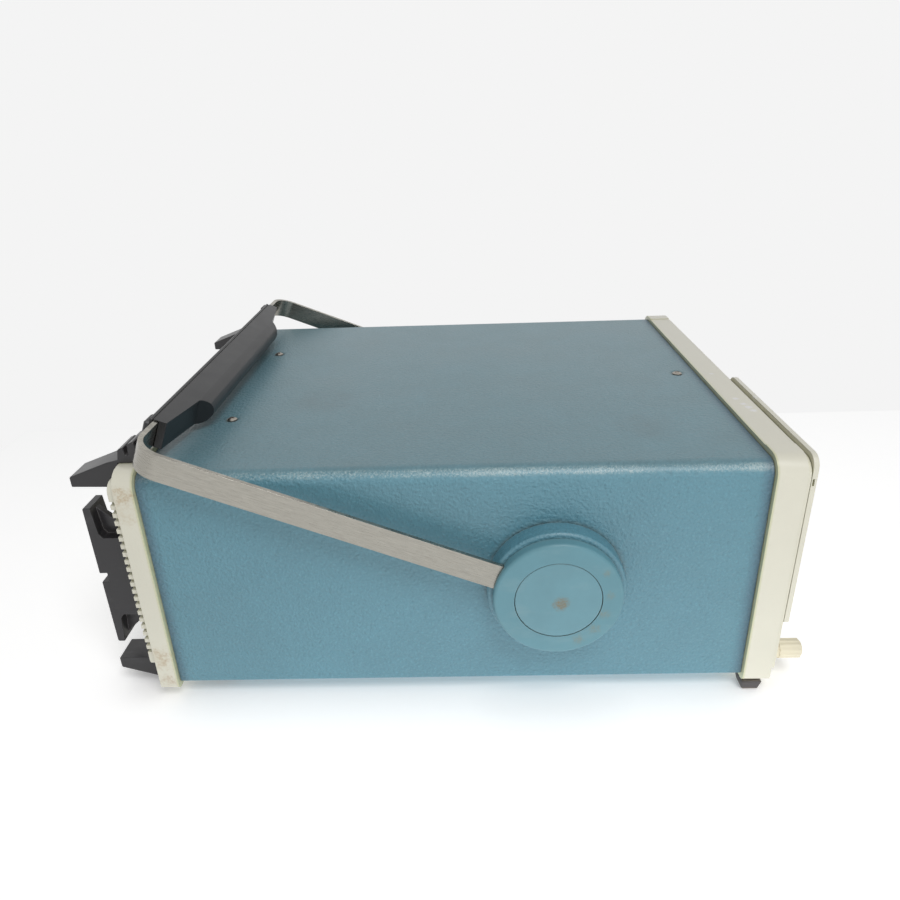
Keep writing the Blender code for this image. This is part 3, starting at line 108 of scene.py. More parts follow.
class Wire:
    """A shader socket that can be used in arithmetic; each operation adds a Math node."""

    def __init__(self, graph: "Graph", socket: bpy.types.NodeSocket) -> None:
        """Keep the socket and the graph that its Math nodes go into."""
        self.graph = graph
        self.socket = socket

    def _math(self, operation: str, first: "Wire | float", second: "Wire | float" = 0.0) -> "Wire":
        """Add a Math node.

        Args:
            operation: the node's operation.
            first: its first value.
            second: its second value.

        Returns:
            The node's result.
        """
        return self.graph.wire("ShaderNodeMath", {"operation": operation}, {0: first, 1: second})

    def __add__(self, other: "Wire | float") -> "Wire":
        """self + other."""
        return self._math("ADD", self, other)

    def __radd__(self, other: "Wire | float") -> "Wire":
        """other + self."""
        return self._math("ADD", other, self)

    def __sub__(self, other: "Wire | float") -> "Wire":
        """self - other."""
        return self._math("SUBTRACT", self, other)

    def __rsub__(self, other: "Wire | float") -> "Wire":
        """other - self."""
        return self._math("SUBTRACT", other, self)

    def __mul__(self, other: "Wire | float") -> "Wire":
        """self * other."""
        return self._math("MULTIPLY", self, other)

    def __rmul__(self, other: "Wire | float") -> "Wire":
        """other * self."""
        return self._math("MULTIPLY", other, self)

    def __truediv__(self, other: "Wire | float") -> "Wire":
        """self / other."""
        return self._math("DIVIDE", self, other)

    def __rtruediv__(self, other: "Wire | float") -> "Wire":
        """other / self."""
        return self._math("DIVIDE", other, self)

    def highest(self, other: "Wire | float") -> "Wire":
        """The larger of self and other."""
        return self._math("MAXIMUM", self, other)

    def size(self) -> "Wire":
        """The value without its sign."""
        return self._math("ABSOLUTE", self)

    def step(self, low: float, high: float) -> "Wire":
        """Run smoothly from 0 at low to 1 at high; low may be the larger.

        Args:
            low: the value that gives 0.
            high: the value that gives 1.

        Returns:
            The smooth step.
        """
        return self.graph.wire(
            "ShaderNodeMapRange",
            {"interpolation_type": "SMOOTHSTEP", "clamp": True},
            {"Value": self, "From Min": low, "From Max": high, "To Min": 0.0, "To Max": 1.0},
            "Result",
        )


class Graph:
    """The node tree of a finish or of the world, with short ways to add nodes to it."""

    def __init__(self, owner: bpy.types.Material | bpy.types.World) -> None:
        """Empty the owner's node tree and keep it."""
        owner.use_nodes = True
        self.owner = owner
        self.tree = owner.node_tree
        self.tree.nodes.clear()
        self._place: Wire | None = None

    @classmethod
    def named(cls, name: str) -> "Graph":
        """Start an empty material called name."""
        return cls(bpy.data.materials.new(name))

    def node(
        self,
        kind: str,
        settings: dict[str, object] | None = None,
        sockets: dict[str | int, object] | None = None,
    ) -> bpy.types.Node:
        """Add a node.

        Args:
            kind: the node's type.
            settings: its properties, which are set first.
            sockets: values or wires for its inputs, by name or number.

        Returns:
            The node.
        """
        made = self.tree.nodes.new(kind)
        for key, value in (settings or {}).items():
            setattr(made, key, value)
        for key, value in (sockets or {}).items():
            if isinstance(value, Wire):
                self.tree.links.new(value.socket, made.inputs[key])
            else:
                made.inputs[key].default_value = value
        return made

    def wire(
        self,
        kind: str,
        settings: dict[str, object] | None = None,
        sockets: dict[str | int, object] | None = None,
        output: str | int = 0,
    ) -> Wire:
        """Add a node and take one of its outputs.

        Args:
            kind: the node's type.
            settings: its properties.
            sockets: values or wires for its inputs.
            output: the output, by name or number.

        Returns:
            The output.
        """
        return Wire(self, self.node(kind, settings, sockets).outputs[output])

    def place(self) -> Wire:
        """The place on the object, in metres, which is the cabinet's own place at rest."""
        if self._place is None:
            self._place = self.wire("ShaderNodeTexCoord", output="Object")
        return self._place

    def stretched(self, scale: Point, turn: Point = (0.0, 0.0, 0.0)) -> Wire:
        """The place turned back by an angle and then scaled along each axis.

        Args:
            scale: how many times each axis is stretched.
            turn: the angles in radians that the place is turned back by.

        Returns:
            The stretched place.
        """
        return self.wire(
            "ShaderNodeMapping",
            {"vector_type": "TEXTURE"},
            {"Vector": self.place(), "Rotation": turn, "Scale": tuple(1.0 / s for s in scale)},
        )

    def axis(self, name: str, vector: Wire | None = None) -> Wire:
        """One coordinate, "X", "Y" or "Z", of a vector or of the place."""
        return self.wire("ShaderNodeSeparateXYZ", {}, {"Vector": vector or self.place()}, name)

    def facing(self, name: str) -> Wire:
        """One coordinate of the surface's direction, from -1 to 1."""
        return self.axis(name, self.wire("ShaderNodeNewGeometry", output="Normal"))

    def noise(self, grain: float, detail: float = 2.0, rough: float = 0.5, seed: float = 0.0,
              at: Wire | None = None) -> Wire:
        """Soft noise from 0 to 1.

        Args:
            grain: the size of one blob, in metres.
            detail: how many finer layers it has.
            rough: how strong the finer layers are.
            seed: picks another pattern.
            at: the place that it is read at, if not the surface's own.

        Returns:
            The noise.
        """
        return self.wire(
            "ShaderNodeTexNoise",
            {"noise_dimensions": "4D"},
            {"Vector": at or self.place(), "W": seed, "Scale": 1.0 / grain, "Detail": detail,
             "Roughness": rough},
            "Fac",
        )

    def cells(self, grain: float, feature: str = "F1") -> Wire:
        """Distance in a field of cells.

        Args:
            grain: the size of one cell, in metres.
            feature: what is measured, as the Voronoi node names it.

        Returns:
            The distance, in cells.
        """
        return self.wire(
            "ShaderNodeTexVoronoi",
            {"feature": feature},
            {"Vector": self.place(), "Scale": 1.0 / grain},
            "Distance",
        )

    def distance(self, centre: Point) -> Wire:
        """The distance from a point, in metres."""
        return self.wire(
            "ShaderNodeVectorMath", {"operation": "DISTANCE"}, {0: self.place(), 1: centre}, "Value"
        )

    def mix(self, amount: Wire | float, first: Wire | Colour, second: Wire | Colour) -> Wire:
        """Blend two colours.

        Args:
            amount: 0 gives the first and 1 the second.
            first: a colour or a wire.
            second: a colour or a wire.

        Returns:
            The blend.
        """
        colours = [(*c, 1.0) if isinstance(c, tuple) else c for c in (first, second)]
        return self.wire(
            "ShaderNodeMix",
            {"data_type": "RGBA"},
            {"Factor": amount, FIRST_COLOUR: colours[0], SECOND_COLOUR: colours[1]},
            MIXED_COLOUR,
        )

    def blend(self, amount: Wire, first: Wire, second: Wire) -> Wire:
        """Blend two shaders.

        Args:
            amount: 0 gives the first and 1 the second.
            first: a shader.
            second: a shader.

        Returns:
            The blend.
        """
        return self.wire("ShaderNodeMixShader", {}, {0: amount, 1: first, 2: second})

    def corners(self, radius: float) -> Wire:
        """How close the surface is to one of its corners, from 0 to 1.

        Args:
            radius: how far from a corner it starts, in metres.

        Returns:
            The closeness.
        """
        rounded = self.wire("ShaderNodeBevel", {"samples": SHADE_SAMPLES}, {"Radius": radius})
        flat = self.wire("ShaderNodeNewGeometry", output="Normal")
        dot = self.wire("ShaderNodeVectorMath", {"operation": "DOT_PRODUCT"}, {0: rounded, 1: flat}, "Value")
        return dot.step(*CORNER_RANGE)

    def creases(self, reach: float) -> Wire:
        """How shut in the surface is by walls close by, from 0 to 1: an occlusion mask that the finishes use
        to paint shade into creases.

        Args:
            reach: how far away a wall still counts, in metres.

        Returns:
            The depth.
        """
        open_sky = self.wire(
            "ShaderNodeAmbientOcclusion", {"samples": SHADE_SAMPLES}, {"Distance": reach}, "AO"
        )
        return open_sky.step(*CREASE_RANGE)

    def bump(self, height: Wire, depth: float, under: Wire | None = None) -> Wire:
        """Turn a height into a surface direction.

        Args:
            height: the height, from 0 to 1.
            depth: what a height of 1 stands for, in metres.
            under: the direction of a coarser bump below it.

        Returns:
            The direction.
        """
        sockets: dict[str | int, object] = {"Height": height, "Distance": depth, "Strength": 1.0}
        if under is not None:
            sockets["Normal"] = under
        return self.wire("ShaderNodeBump", {}, sockets)

    def finish(
        self,
        colour: Wire | Colour,
        rough: Wire | float,
        normal: Wire | None = None,
        metal: Wire | float = 0.0,
        fixed: dict[str, object] | None = None,
    ) -> bpy.types.Material:
        """Close the tree with its surface shader.

        Args:
            colour: the base colour.
            rough: the roughness.
            normal: the surface direction.
            metal: the metallic share.
            fixed: other inputs that are the same all over.

        Returns:
            The material.
        """
        sockets: dict[str | int, object] = {
            "Base Color": colour if isinstance(colour, Wire) else (*colour, 1.0),
            "Roughness": rough,
            "Metallic": metal,
        }
        if normal is not None:
            sockets["Normal"] = normal
        sockets.update(fixed or {})
        shader = self.wire("ShaderNodeBsdfPrincipled", {}, sockets)
        self.node("ShaderNodeOutputMaterial", {}, {"Surface": shader})
        return self.owner


# ---------------------------------------------------------------------------------------
# Finishes
# ---------------------------------------------------------------------------------------


def tint(colour: Colour, gain: float, lift: float = 0.0) -> Colour:
    """Make a colour lighter or darker, up to white.

    Args:
        colour: the colour.
        gain: what each channel is multiplied by.
        lift: what is added to it then.

    Returns:
        The new colour.
    """
    return tuple(min(1.0, c * gain + lift) for c in colour)


@dataclass(frozen=True)
class Stain:
    """A ragged patch of another colour."""

    centre: Point
    radius: float
    colour: Colour
    strength: float = 0.8
    ragged: float = 0.5

    def mask(self, graph: Graph) -> Wire:
        """Where the stain lies.

        Args:
            graph: the finish that it is on.

        Returns:
            Its cover, from 0 to its strength.
        """
        seed = (self.centre[0] + self.centre[1] * 3.0) * 31.0
        edge = graph.noise(self.radius * 0.5, detail=5.0, rough=0.7, seed=seed)
        blotch = graph.noise(self.radius * 0.22, detail=3.0, rough=0.6, seed=seed + 5.0).step(0.38, 0.66)
        reach = graph.distance(self.centre) / self.radius + (edge - 0.5) * (self.ragged * 3.0)
        solid = 1.0 - self.ragged * 0.8
        return reach.step(1.05, 0.2) * (blotch * (1.0 - solid) + solid) * self.strength


def stained(graph: Graph, stains: Sequence[Stain], colour: Wire, rough: Wire,
            matt: float) -> tuple[Wire, Wire]:
    """Lay stains over a finish.

    Args:
        graph: the finish.
        stains: the stains, the lowest first.
        colour: the colour below them.
        rough: the roughness below them.
        matt: how much rougher they are.

    Returns:
        The stained colour and roughness.
    """
    for stain in stains:
        cover = stain.mask(graph)
        colour = graph.mix(cover, colour, stain.colour)
        rough = rough + cover * matt
    return colour, rough


@dataclass(frozen=True)
class Band:
    """A tint beside one plane across the cabinet, such as a band on a frame's lip or the painted shadow that
    a frame casts on the sleeve.
    """

    plane: float
    width: float
    colour: Colour
    strength: float

    def mask(self, graph: Graph) -> Wire:
        """How much of the band covers a place."""
        uneven = graph.noise(14 * MM, detail=3.0, rough=0.6, seed=21.0) * 0.6 + 0.7
        return (graph.axis("Y") - self.plane).size().step(self.width, 0.0) * uneven * self.strength


@dataclass(frozen=True)
class Enamel:
    """Stoved paint on metal: pebbled or smooth, mottled, dusty and worn at its corners; it has painted shade
    in its creases and on its upward faces, painted light and shade on its pebbles, and painted glints on its
    rims.
    """

    name: str
    colour: Colour
    worn: Colour
    # Colour of the painted shade in creases, grimy in tone.
    grime: Colour = (0.10, 0.085, 0.06)
    rough: float = 0.5
    pebble: float = 1.6 * MM
    pebble_depth: float = 0.10 * MM
    mottle: float = 0.12
    # A dusty film on upward faces and its colour; where its colour is dark it is also painted shade on those
    # faces.
    dust: float = 0.0
    dust_colour: Colour = (0.42, 0.42, 0.39)
    wear: float = 0.6
    wear_reach: float = 1.2 * MM
    # Paint worn through along the rounded rims, partly painted glints.
    rim_wear: float = 0.0
    scratches: float = 0.25
    crease: float = 0.5
    crease_reach: float = 5 * MM
    coat: float = 0.7
    # Painted light and shade on the pebble: how much lighter its peaks and darker its pits are made.
    grain: float = 0.0
    bands: tuple[Band, ...] = ()
    stains: tuple[Stain, ...] = ()

    def build(self) -> bpy.types.Material:
        """Make the material."""
        graph = Graph.named(self.name)
        clouds = graph.noise(60 * MM, detail=4.0, rough=0.55, seed=1.0)
        specks = graph.noise(2.2 * MM, detail=3.0, rough=0.7, seed=2.0)
        dark = tint(self.colour, 1.0 - self.mottle)
        light = tint(self.colour, 1.0 + self.mottle)
        colour = graph.mix(clouds.step(0.3, 0.7), dark, light)
        colour = graph.mix(specks.step(0.62, 0.78) * 0.25, colour, tint(self.colour, 0.6))
        # Painted highlight and shade: the pebble's peaks, read from the same noise as its bump, are lighter
        # and its pits darker.
        if self.grain:
            peaks = graph.noise(self.pebble, detail=3.0, rough=0.55, seed=9.0).step(0.52, 0.72)
            pits = graph.noise(self.pebble, detail=3.0, rough=0.55, seed=9.0).step(0.46, 0.28)
            colour = graph.mix(peaks * self.grain, colour, tint(self.colour, 1.5, 0.02))
            colour = graph.mix(pits * self.grain, colour, tint(self.colour, 0.55))
        rough = self.rough + (clouds - 0.5) * 0.18 + (specks - 0.5) * 0.12
        # Upward faces take the dusty film; on the cabinet its colour is darker than the paint, so it is also
        # painted shade on the top.
        if self.dust:
            up = graph.facing("Z").step(0.55, 0.95)
            drifts = graph.noise(28 * MM, detail=5.0, rough=0.6, seed=3.0).step(0.2, 0.8)
            dust_and_top_shade_mask = (drifts * 0.3 + 0.7) * up * self.dust
            colour = graph.mix(dust_and_top_shade_mask, colour, self.dust_colour)
            rough = rough + dust_and_top_shade_mask * 0.3
        if self.scratches:
            colour, rough = self._scratch(graph, colour, rough)
        # Painted shade: where occlusion finds a crease or recess, the paint darkens towards a grimy colour.
        if self.crease:
            uneven = graph.noise(7 * MM, detail=3.0, rough=0.6, seed=4.0) + 0.35
            shaded_crease_mask = graph.creases(self.crease_reach) * uneven * self.crease
            colour = graph.mix(shaded_crease_mask, colour, self.grime)
            rough = rough + shaded_crease_mask * 0.25
        if self.wear:
            chips = graph.noise(1.3 * MM, detail=4.0, rough=0.75, seed=5.0)
            chips = chips + graph.noise(18 * MM, detail=2.0, rough=0.5, seed=6.0) * 0.6
            edge_wear_and_glint = graph.corners(self.wear_reach) * chips.step(0.72, 0.95) * self.wear
            colour = graph.mix(edge_wear_and_glint, colour, self.worn)
        # Painted glints along the rounded rims in the worn colour, with lower roughness: partly paint worn
        # through, partly a painted highlight.
        if self.rim_wear:
            rim = (graph.facing("X").size() * graph.facing("Z")).step(0.36, 0.49)
            sparkle = graph.noise(1.1 * MM, detail=4.0, rough=0.8, seed=11.0)
            sparkle = sparkle + graph.noise(50 * MM, detail=2.0, rough=0.5, seed=12.0) * 0.5
            glints = rim * sparkle.step(0.68, 0.92) * self.rim_wear
            colour = graph.mix(glints, colour, self.worn)
            rough = rough - glints * 0.15
        for band in self.bands:
            colour = graph.mix(band.mask(graph), colour, band.colour)
        colour, rough = stained(graph, self.stains, colour, rough, 0.2)
        return graph.finish(colour, rough, self._surface(graph), fixed={
            "Specular IOR Level": 0.45, "Coat Weight": self.coat, "Coat Roughness": 0.34})

    def _scratch(self, graph: Graph, colour: Wire, rough: Wire) -> tuple[Wire, Wire]:
        """Lay fine hair scratches in two directions over the paint.

        Args:
            graph: the finish.
            colour: the colour below.
            rough: the roughness below.

        Returns:
            The scratched colour and roughness.
        """
        for turn, seed in ((0.5, 7.0), (-0.9, 8.0)):
            drawn = graph.stretched((1.0, 0.02, 1.0), (turn, turn, turn))
            lines = graph.noise(1.4 * MM, detail=2.0, rough=0.6, seed=seed, at=drawn)
            gate = graph.noise(24 * MM, detail=2.0, rough=0.5, seed=seed + 4.0).step(0.55, 0.72)
            mark = lines.step(0.73, 0.80) * gate * self.scratches
            colour = graph.mix(mark, colour, tint(self.colour, 1.8, 0.05))
            rough = rough + mark * 0.15
        return colour, rough

    def _surface(self, graph: Graph) -> Wire:
        """The surface direction: orange peel on sheet metal that isn't quite flat.

        Args:
            graph: the finish.

        Returns:
            The direction.
        """
        peel = graph.noise(self.pebble, detail=3.0, rough=0.55, seed=9.0)
        lumps = graph.cells(self.pebble * 1.3, "SMOOTH_F1")
        coarse = graph.bump(peel + (1.0 - lumps) * 0.5, self.pebble_depth)
        return graph.bump(graph.noise(30 * MM, detail=2.0, rough=0.5, seed=10.0), 0.4 * MM, coarse)


@dataclass(frozen=True)
class Moulding:
    """Moulded plastic or rubber: a fine spark-eroded grain, scuffs, painted shade in its creases, and edges
    in the scuff colour that are wear and, on the black mouldings, also a painted highlight.
    """

    name: str
    colour: Colour
    scuff: Colour
    # Colour of the painted shade in creases.
    dirt: Colour = (0.30, 0.24, 0.15)
    rough: float = 0.5
    grain: float = 0.45 * MM
    grain_depth: float = 0.02 * MM
    wear: float = 0.5
    wear_reach: float = 0.8 * MM
    crease: float = 0.35
    smears: float = 0.15
    stains: tuple[Stain, ...] = ()

    def build(self) -> bpy.types.Material:
        """Make the material."""
        graph = Graph.named(self.name)
        clouds = graph.noise(22 * MM, detail=4.0, rough=0.6, seed=1.5)
        fine = graph.noise(1.1 * MM, detail=3.0, rough=0.7, seed=2.5)
        colour = graph.mix(clouds, tint(self.colour, 0.86), tint(self.colour, 1.14))
        rough = self.rough + (clouds - 0.5) * 0.2
        wiped = graph.stretched((1.0, 0.35, 1.0))
        smear = graph.noise(9 * MM, detail=5.0, rough=0.6, seed=3.5, at=wiped).step(0.52, 0.75) * self.smears
        colour = graph.mix(smear, colour, self.scuff)
        rough = rough + smear * 0.35
        # Painted shade: creases and recesses found by occlusion darken towards a brownish colour.
        shaded_crease_mask = graph.creases(3 * MM) * (fine + 0.3) * self.crease
        colour = graph.mix(shaded_crease_mask, colour, self.dirt)
        # Edges take the scuff colour: wear, and on the black mouldings, whose wear is full, also a painted
        # edge highlight.
        edge_wear_and_glint = graph.corners(self.wear_reach) * (fine + clouds * 0.5).step(0.55, 0.95) * self.wear
        colour = graph.mix(edge_wear_and_glint, colour, self.scuff)
        colour, rough = stained(graph, self.stains, colour, rough, 0.25)
        coarse = graph.bump(graph.noise(self.grain, detail=2.0, rough=0.5, seed=4.5), self.grain_depth)
        normal = graph.bump(clouds, 0.05 * MM, coarse)
        return graph.finish(colour, rough, normal)


@dataclass(frozen=True)
class BrushedMetal:
    """Bare metal with a brushed grain along one direction, light stains and tiny pits."""

    name: str
    colour: Colour
    turn: Point = (0.0, 0.0, 0.0)
    rough: float = 0.34
    across: Point = (1.0, 1.0, 60.0)
    line: float = 6 * MM
    depth: float = 0.012 * MM
    tarnish: Colour = (0.20, 0.16, 0.11)
    stains: tuple[Stain, ...] = ()

    def build(self) -> bpy.types.Material:
        """Make the material."""
        graph = Graph.named(self.name)
        along = graph.stretched(self.across, self.turn)
        hair = graph.noise(self.line, detail=5.0, rough=0.7, seed=1.0, at=along)
        broad = graph.noise(self.line * 6.0, detail=3.0, rough=0.6, seed=2.0, at=along)
        clouds = graph.noise(30 * MM, detail=4.0, rough=0.6, seed=3.0)
        colour = graph.mix(hair.step(0.3, 0.7), tint(self.colour, 0.72), tint(self.colour, 1.22))
        colour = graph.mix(broad.step(0.45, 0.75) * 0.35, colour, tint(self.colour, 0.7))
        pits = graph.noise(1.2 * MM, detail=3.0, rough=0.7, seed=4.0).step(0.72, 0.8) * clouds.step(0.5, 0.7)
        colour = graph.mix(pits * 0.5, colour, self.tarnish)
        for stain in self.stains:
            colour = graph.mix(stain.mask(graph), colour, stain.colour)
        rough = self.rough + (hair - 0.5) * 0.25 + (clouds - 0.5) * 0.12
        return graph.finish(colour, rough, graph.bump(hair, self.depth), metal=1.0)


@dataclass(frozen=True)
class ScreenGlass:
    """Dark tinted glass with faint wipe marks."""

    name: str
    colour: Colour

    def build(self) -> bpy.types.Material:
        """Make the material."""
        graph = Graph.named(self.name)
        wiped = graph.stretched((1.0, 1.0, 0.3), (0.0, 0.6, 0.0))
        wipes = graph.noise(30 * MM, detail=4.0, rough=0.65, seed=1.0, at=wiped)
        specks = graph.noise(1.5 * MM, detail=2.0, rough=0.6, seed=2.0).step(0.72, 0.8)
        colour = graph.mix(wipes.step(0.4, 0.8) * 0.25, self.colour, tint(self.colour, 2.2, 0.01))
        rough = 0.06 + wipes.step(0.5, 0.8) * 0.10 + specks * 0.2
        return graph.finish(colour, rough, graph.bump(wipes, 0.02 * MM), fixed={"Coat Weight": 0.6})


@dataclass(frozen=True)
class Ink:
    """Screen-printed marks: dense ink that has thinned in places."""

    name: str
    colour: Colour
    rough: float = 0.5

    def build(self) -> bpy.types.Material:
        """Make the material."""
        graph = Graph.named(self.name)
        thin = graph.noise(2.5 * MM, detail=4.0, rough=0.7, seed=1.0).step(0.55, 0.75)
        pale = tint(self.colour, 1.6, 0.05)
        colour = graph.mix(thin * 0.45, self.colour, pale)
        return graph.finish(colour, self.rough + thin * 0.2, graph.bump(thin, 0.01 * MM))


@dataclass(frozen=True)
class PrintedBoard:
    """A circuit board: green mask over copper tracks, with tinned pads."""

    name: str
    mask: Colour = (0.03, 0.13, 0.05)
    track: Colour = (0.06, 0.24, 0.10)
    pad: Colour = (0.55, 0.54, 0.50)

    def build(self) -> bpy.types.Material:
        """Make the material."""
        graph = Graph.named(self.name)
        routes = graph.cells(6 * MM, "DISTANCE_TO_EDGE").step(0.10, 0.06)
        pads = graph.cells(3.5 * MM).step(0.22, 0.18)
        colour = graph.mix(routes, self.mask, self.track)
        colour = graph.mix(pads, colour, self.pad)
        rough = 0.45 - pads * 0.2
        return graph.finish(colour, rough, graph.bump(routes + pads, 0.05 * MM), metal=pads * 0.8)


# ---------------------------------------------------------------------------------------
# Boxes, meshes and dressing
# ---------------------------------------------------------------------------------------


@dataclass(frozen=True)
class Span:
    """The box that a node fills at rest."""

    low: Vector
    high: Vector

    @classmethod
    def of(cls, node: str) -> "Span":
        """The box of a CAD node."""
        low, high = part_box(node)
        return cls(Vector(low), Vector(high))

    @property
    def centre(self) -> Vector:
        """The box's middle."""
        return (self.low + self.high) / 2

    @property
    def size(self) -> Vector:
        """The box's three sizes."""
        return self.high - self.low


def ray(angle: float) -> Vector:
    """A step of length one in the plane of the front, turned from +X towards +Z by an angle."""
    return Vector((math.cos(angle), 0.0, math.sin(angle)))


def put_in_scene(name: str, data: bpy.types.ID) -> bpy.types.Object:
    """Make an object called name from its data and link it to the scene."""
    obj = bpy.data.objects.new(name, data)
    bpy.context.scene.collection.objects.link(obj)
    return obj


def even_normals(obj: bpy.types.Object, angle: float, soften: float = 0.0) -> None:
    """Shade an object's round faces and chamfers smooth and keep its flat faces flat.

    Args:
        obj: the object.
        angle: edges sharper than this, in degrees, stay sharp.
        soften: how far its sharp edges are rounded, in metres.
    """
    weld = obj.modifiers.new("weld", "WELD")
    weld.merge_threshold = WELD_REACH
    if soften:
        rounded = obj.modifiers.new("soft edges", "BEVEL")
        rounded.width = soften
        rounded.segments = 2
        rounded.limit_method = "ANGLE"
        rounded.angle_limit = SOFT_EDGE_FROM
    obj.data.shade_smooth()
    split = obj.modifiers.new("sharp edges", "EDGE_SPLIT")
    split.split_angle = math.radians(angle)
    weighted = obj.modifiers.new("even normals", "WEIGHTED_NORMAL")
    weighted.weight = SMOOTH_WEIGHT


def dress(nodes: Sequence[str] | str, material: bpy.types.Material, angle: float = 50.0,
          soften: float = 0.0) -> None:
    """Give CAD nodes their finish.

    Args:
        nodes: a node's name, or several.
        material: the finish.
        angle: edges sharper than this, in degrees, stay sharp.
        soften: how far their sharp edges are rounded, in metres.
    """
    for name in [nodes] if isinstance(nodes, str) else nodes:
        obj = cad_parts[name]
        obj.data.materials.clear()
        obj.data.materials.append(material)
        even_normals(obj, angle, soften)
        LOG.info("dressed %s in %s", name, material.name)


class Piece:
    """A hand-made mesh piece of the object."""

    def __init__(self, name: str) -> None:
        """Start an empty mesh called name."""
        self.name = name
        self.mesh = bmesh.new()

    def place(self, body: Body, material: bpy.types.Material, slot: str | None = None,
              smooth: float = 35.0) -> bpy.types.Object:
        """Turn the mesh into an object that rides on a body.

        Args:
            body: the body.
            material: the finish.
            slot: the name of a material slot in the record; not used.
            smooth: edges sharper than this, in degrees, stay sharp.

        Returns:
            The object.
        """
        bmesh.ops.recalc_face_normals(self.mesh, faces=self.mesh.faces)
        data = bpy.data.meshes.new(self.name)
        self.mesh.to_mesh(data)
        self.mesh.free()
        data.shade_smooth()
        data.set_sharp_from_angle(angle=math.radians(smooth))
        obj = put_in_scene(self.name, data)
        data.materials.append(material)
        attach(obj, body.value)
        LOG.info("built %s on %s", self.name, body.value)
        return obj

    def turned(self, profile: Sequence[tuple[float, float]], start: Vector, direction: Vector,
               steps: int = 32) -> None:
        """Add a closed turned shape.

        Args:
            profile: its half section as (radius, height), from the axis to the axis.
            start: where the height is 0.
            direction: the way that the height runs.
            steps: its number of sides.
        """
        turn = Vector((0, 0, 1)).rotation_difference(direction).to_matrix()
        rings: list[list[bmesh.types.BMVert]] = []
        for radius, height in profile:
            if radius < ON_AXIS:
                rings.append([self.mesh.verts.new(start + turn @ Vector((0, 0, height)))])
                continue
            ring = []
            for k in range(steps):
                angle = 2 * math.pi * k / steps
                local = Vector((radius * math.cos(angle), radius * math.sin(angle), height))
                ring.append(self.mesh.verts.new(start + turn @ local))
            rings.append(ring)
        for lower, upper in zip(rings, rings[1:]):
            for k in range(steps):
                corners = (lower[k % len(lower)], lower[(k + 1) % len(lower)],
                           upper[(k + 1) % len(upper)], upper[k % len(upper)])
                unique = list(dict.fromkeys(corners))
                if len(unique) > 2:
                    self.mesh.faces.new(unique)

    def ribbon(self, line: Sequence[Vector], width: float, lift: Vector, closed: bool = False) -> None:
        """Add a flat ribbon that lies along a line on a surface.

        Args:
            line: its points, on the surface.
            width: its width.
            lift: how far and which way its face stands off the surface.
            closed: whether its end joins its start.
        """
        out = lift.normalized()
        count = len(line)
        rings: list[list[bmesh.types.BMVert]] = []
        for k, point in enumerate(line):
            before = line[k - 1] if k or closed else point
            after = line[(k + 1) % count] if k < count - 1 or closed else point
            side = out.cross((after - before).normalized()) * (width / 2)
            rings.append([self.mesh.verts.new(p) for p in (
                point - side, point - side + lift, point + side + lift, point + side)])
        pairs = list(zip(rings, rings[1:])) + ([(rings[-1], rings[0])] if closed else [])
        for first, second in pairs:
            for k in range(4):
                self.mesh.faces.new((first[k], first[(k + 1) % 4], second[(k + 1) % 4], second[k]))
        if not closed:
            self.mesh.faces.new(rings[0])
            self.mesh.faces.new(list(reversed(rings[-1])))

    def words(self, text: str, place: Vector, size: float, depth: float, turn: Matrix) -> None:
        """Add letters or numbers, centred on a place.

        Args:
            text: what they say.
            place: the middle of the text, on the surface.
            size: the height of the letters' line.
            depth: how far their face stands off the surface.
            turn: turns text that faces +Z to the way the surface faces.
        """
        curve = bpy.data.curves.new(self.name, "FONT")
        curve.body = text
        curve.size = size
        curve.align_x = curve.align_y = "CENTER"
        curve.extrude = depth / 2
        letters = bpy.data.objects.new(self.name, curve)
        flat = letters.to_mesh()
        flat.transform(Matrix.Translation(place) @ turn.to_4x4() @ Matrix.Translation((0.0, 0.0, depth / 2)))
        self.mesh.from_mesh(flat)
        letters.to_mesh_clear()
        bpy.data.objects.remove(letters)
        bpy.data.curves.remove(curve)

    def slab(self, outline: Sequence[Vector], direction: Vector, bevel: float = 0.0) -> None:
        """Add a prism on an outline.

        Args:
            outline: the corners of its foot.
            direction: how far and which way it stands up from them.
            bevel: how much its upper face is drawn in, in metres.
        """
        foot = [self.mesh.verts.new(p) for p in outline]
        middle = sum(outline, Vector()) / len(outline)
        upper = []
        for p in outline:
            inward = (middle - p).normalized() * bevel
            upper.append(self.mesh.verts.new(p + direction + inward))
        count = len(foot)
        for k in range(count):
            self.mesh.faces.new((foot[k], foot[(k + 1) % count], upper[(k + 1) % count], upper[k]))
        self.mesh.faces.new(upper)
        self.mesh.faces.new(list(reversed(foot)))


# ---------------------------------------------------------------------------------------
# Sub-assemblies
# ---------------------------------------------------------------------------------------


class SubAssembly:
    """A group of the object's pieces, with the steps that make and finish them."""

    def build(self) -> None:
        """Make the group's own small pieces, where it has any."""

    def dress(self) -> None:
        """Give the group's nodes their finishes, where it has any."""


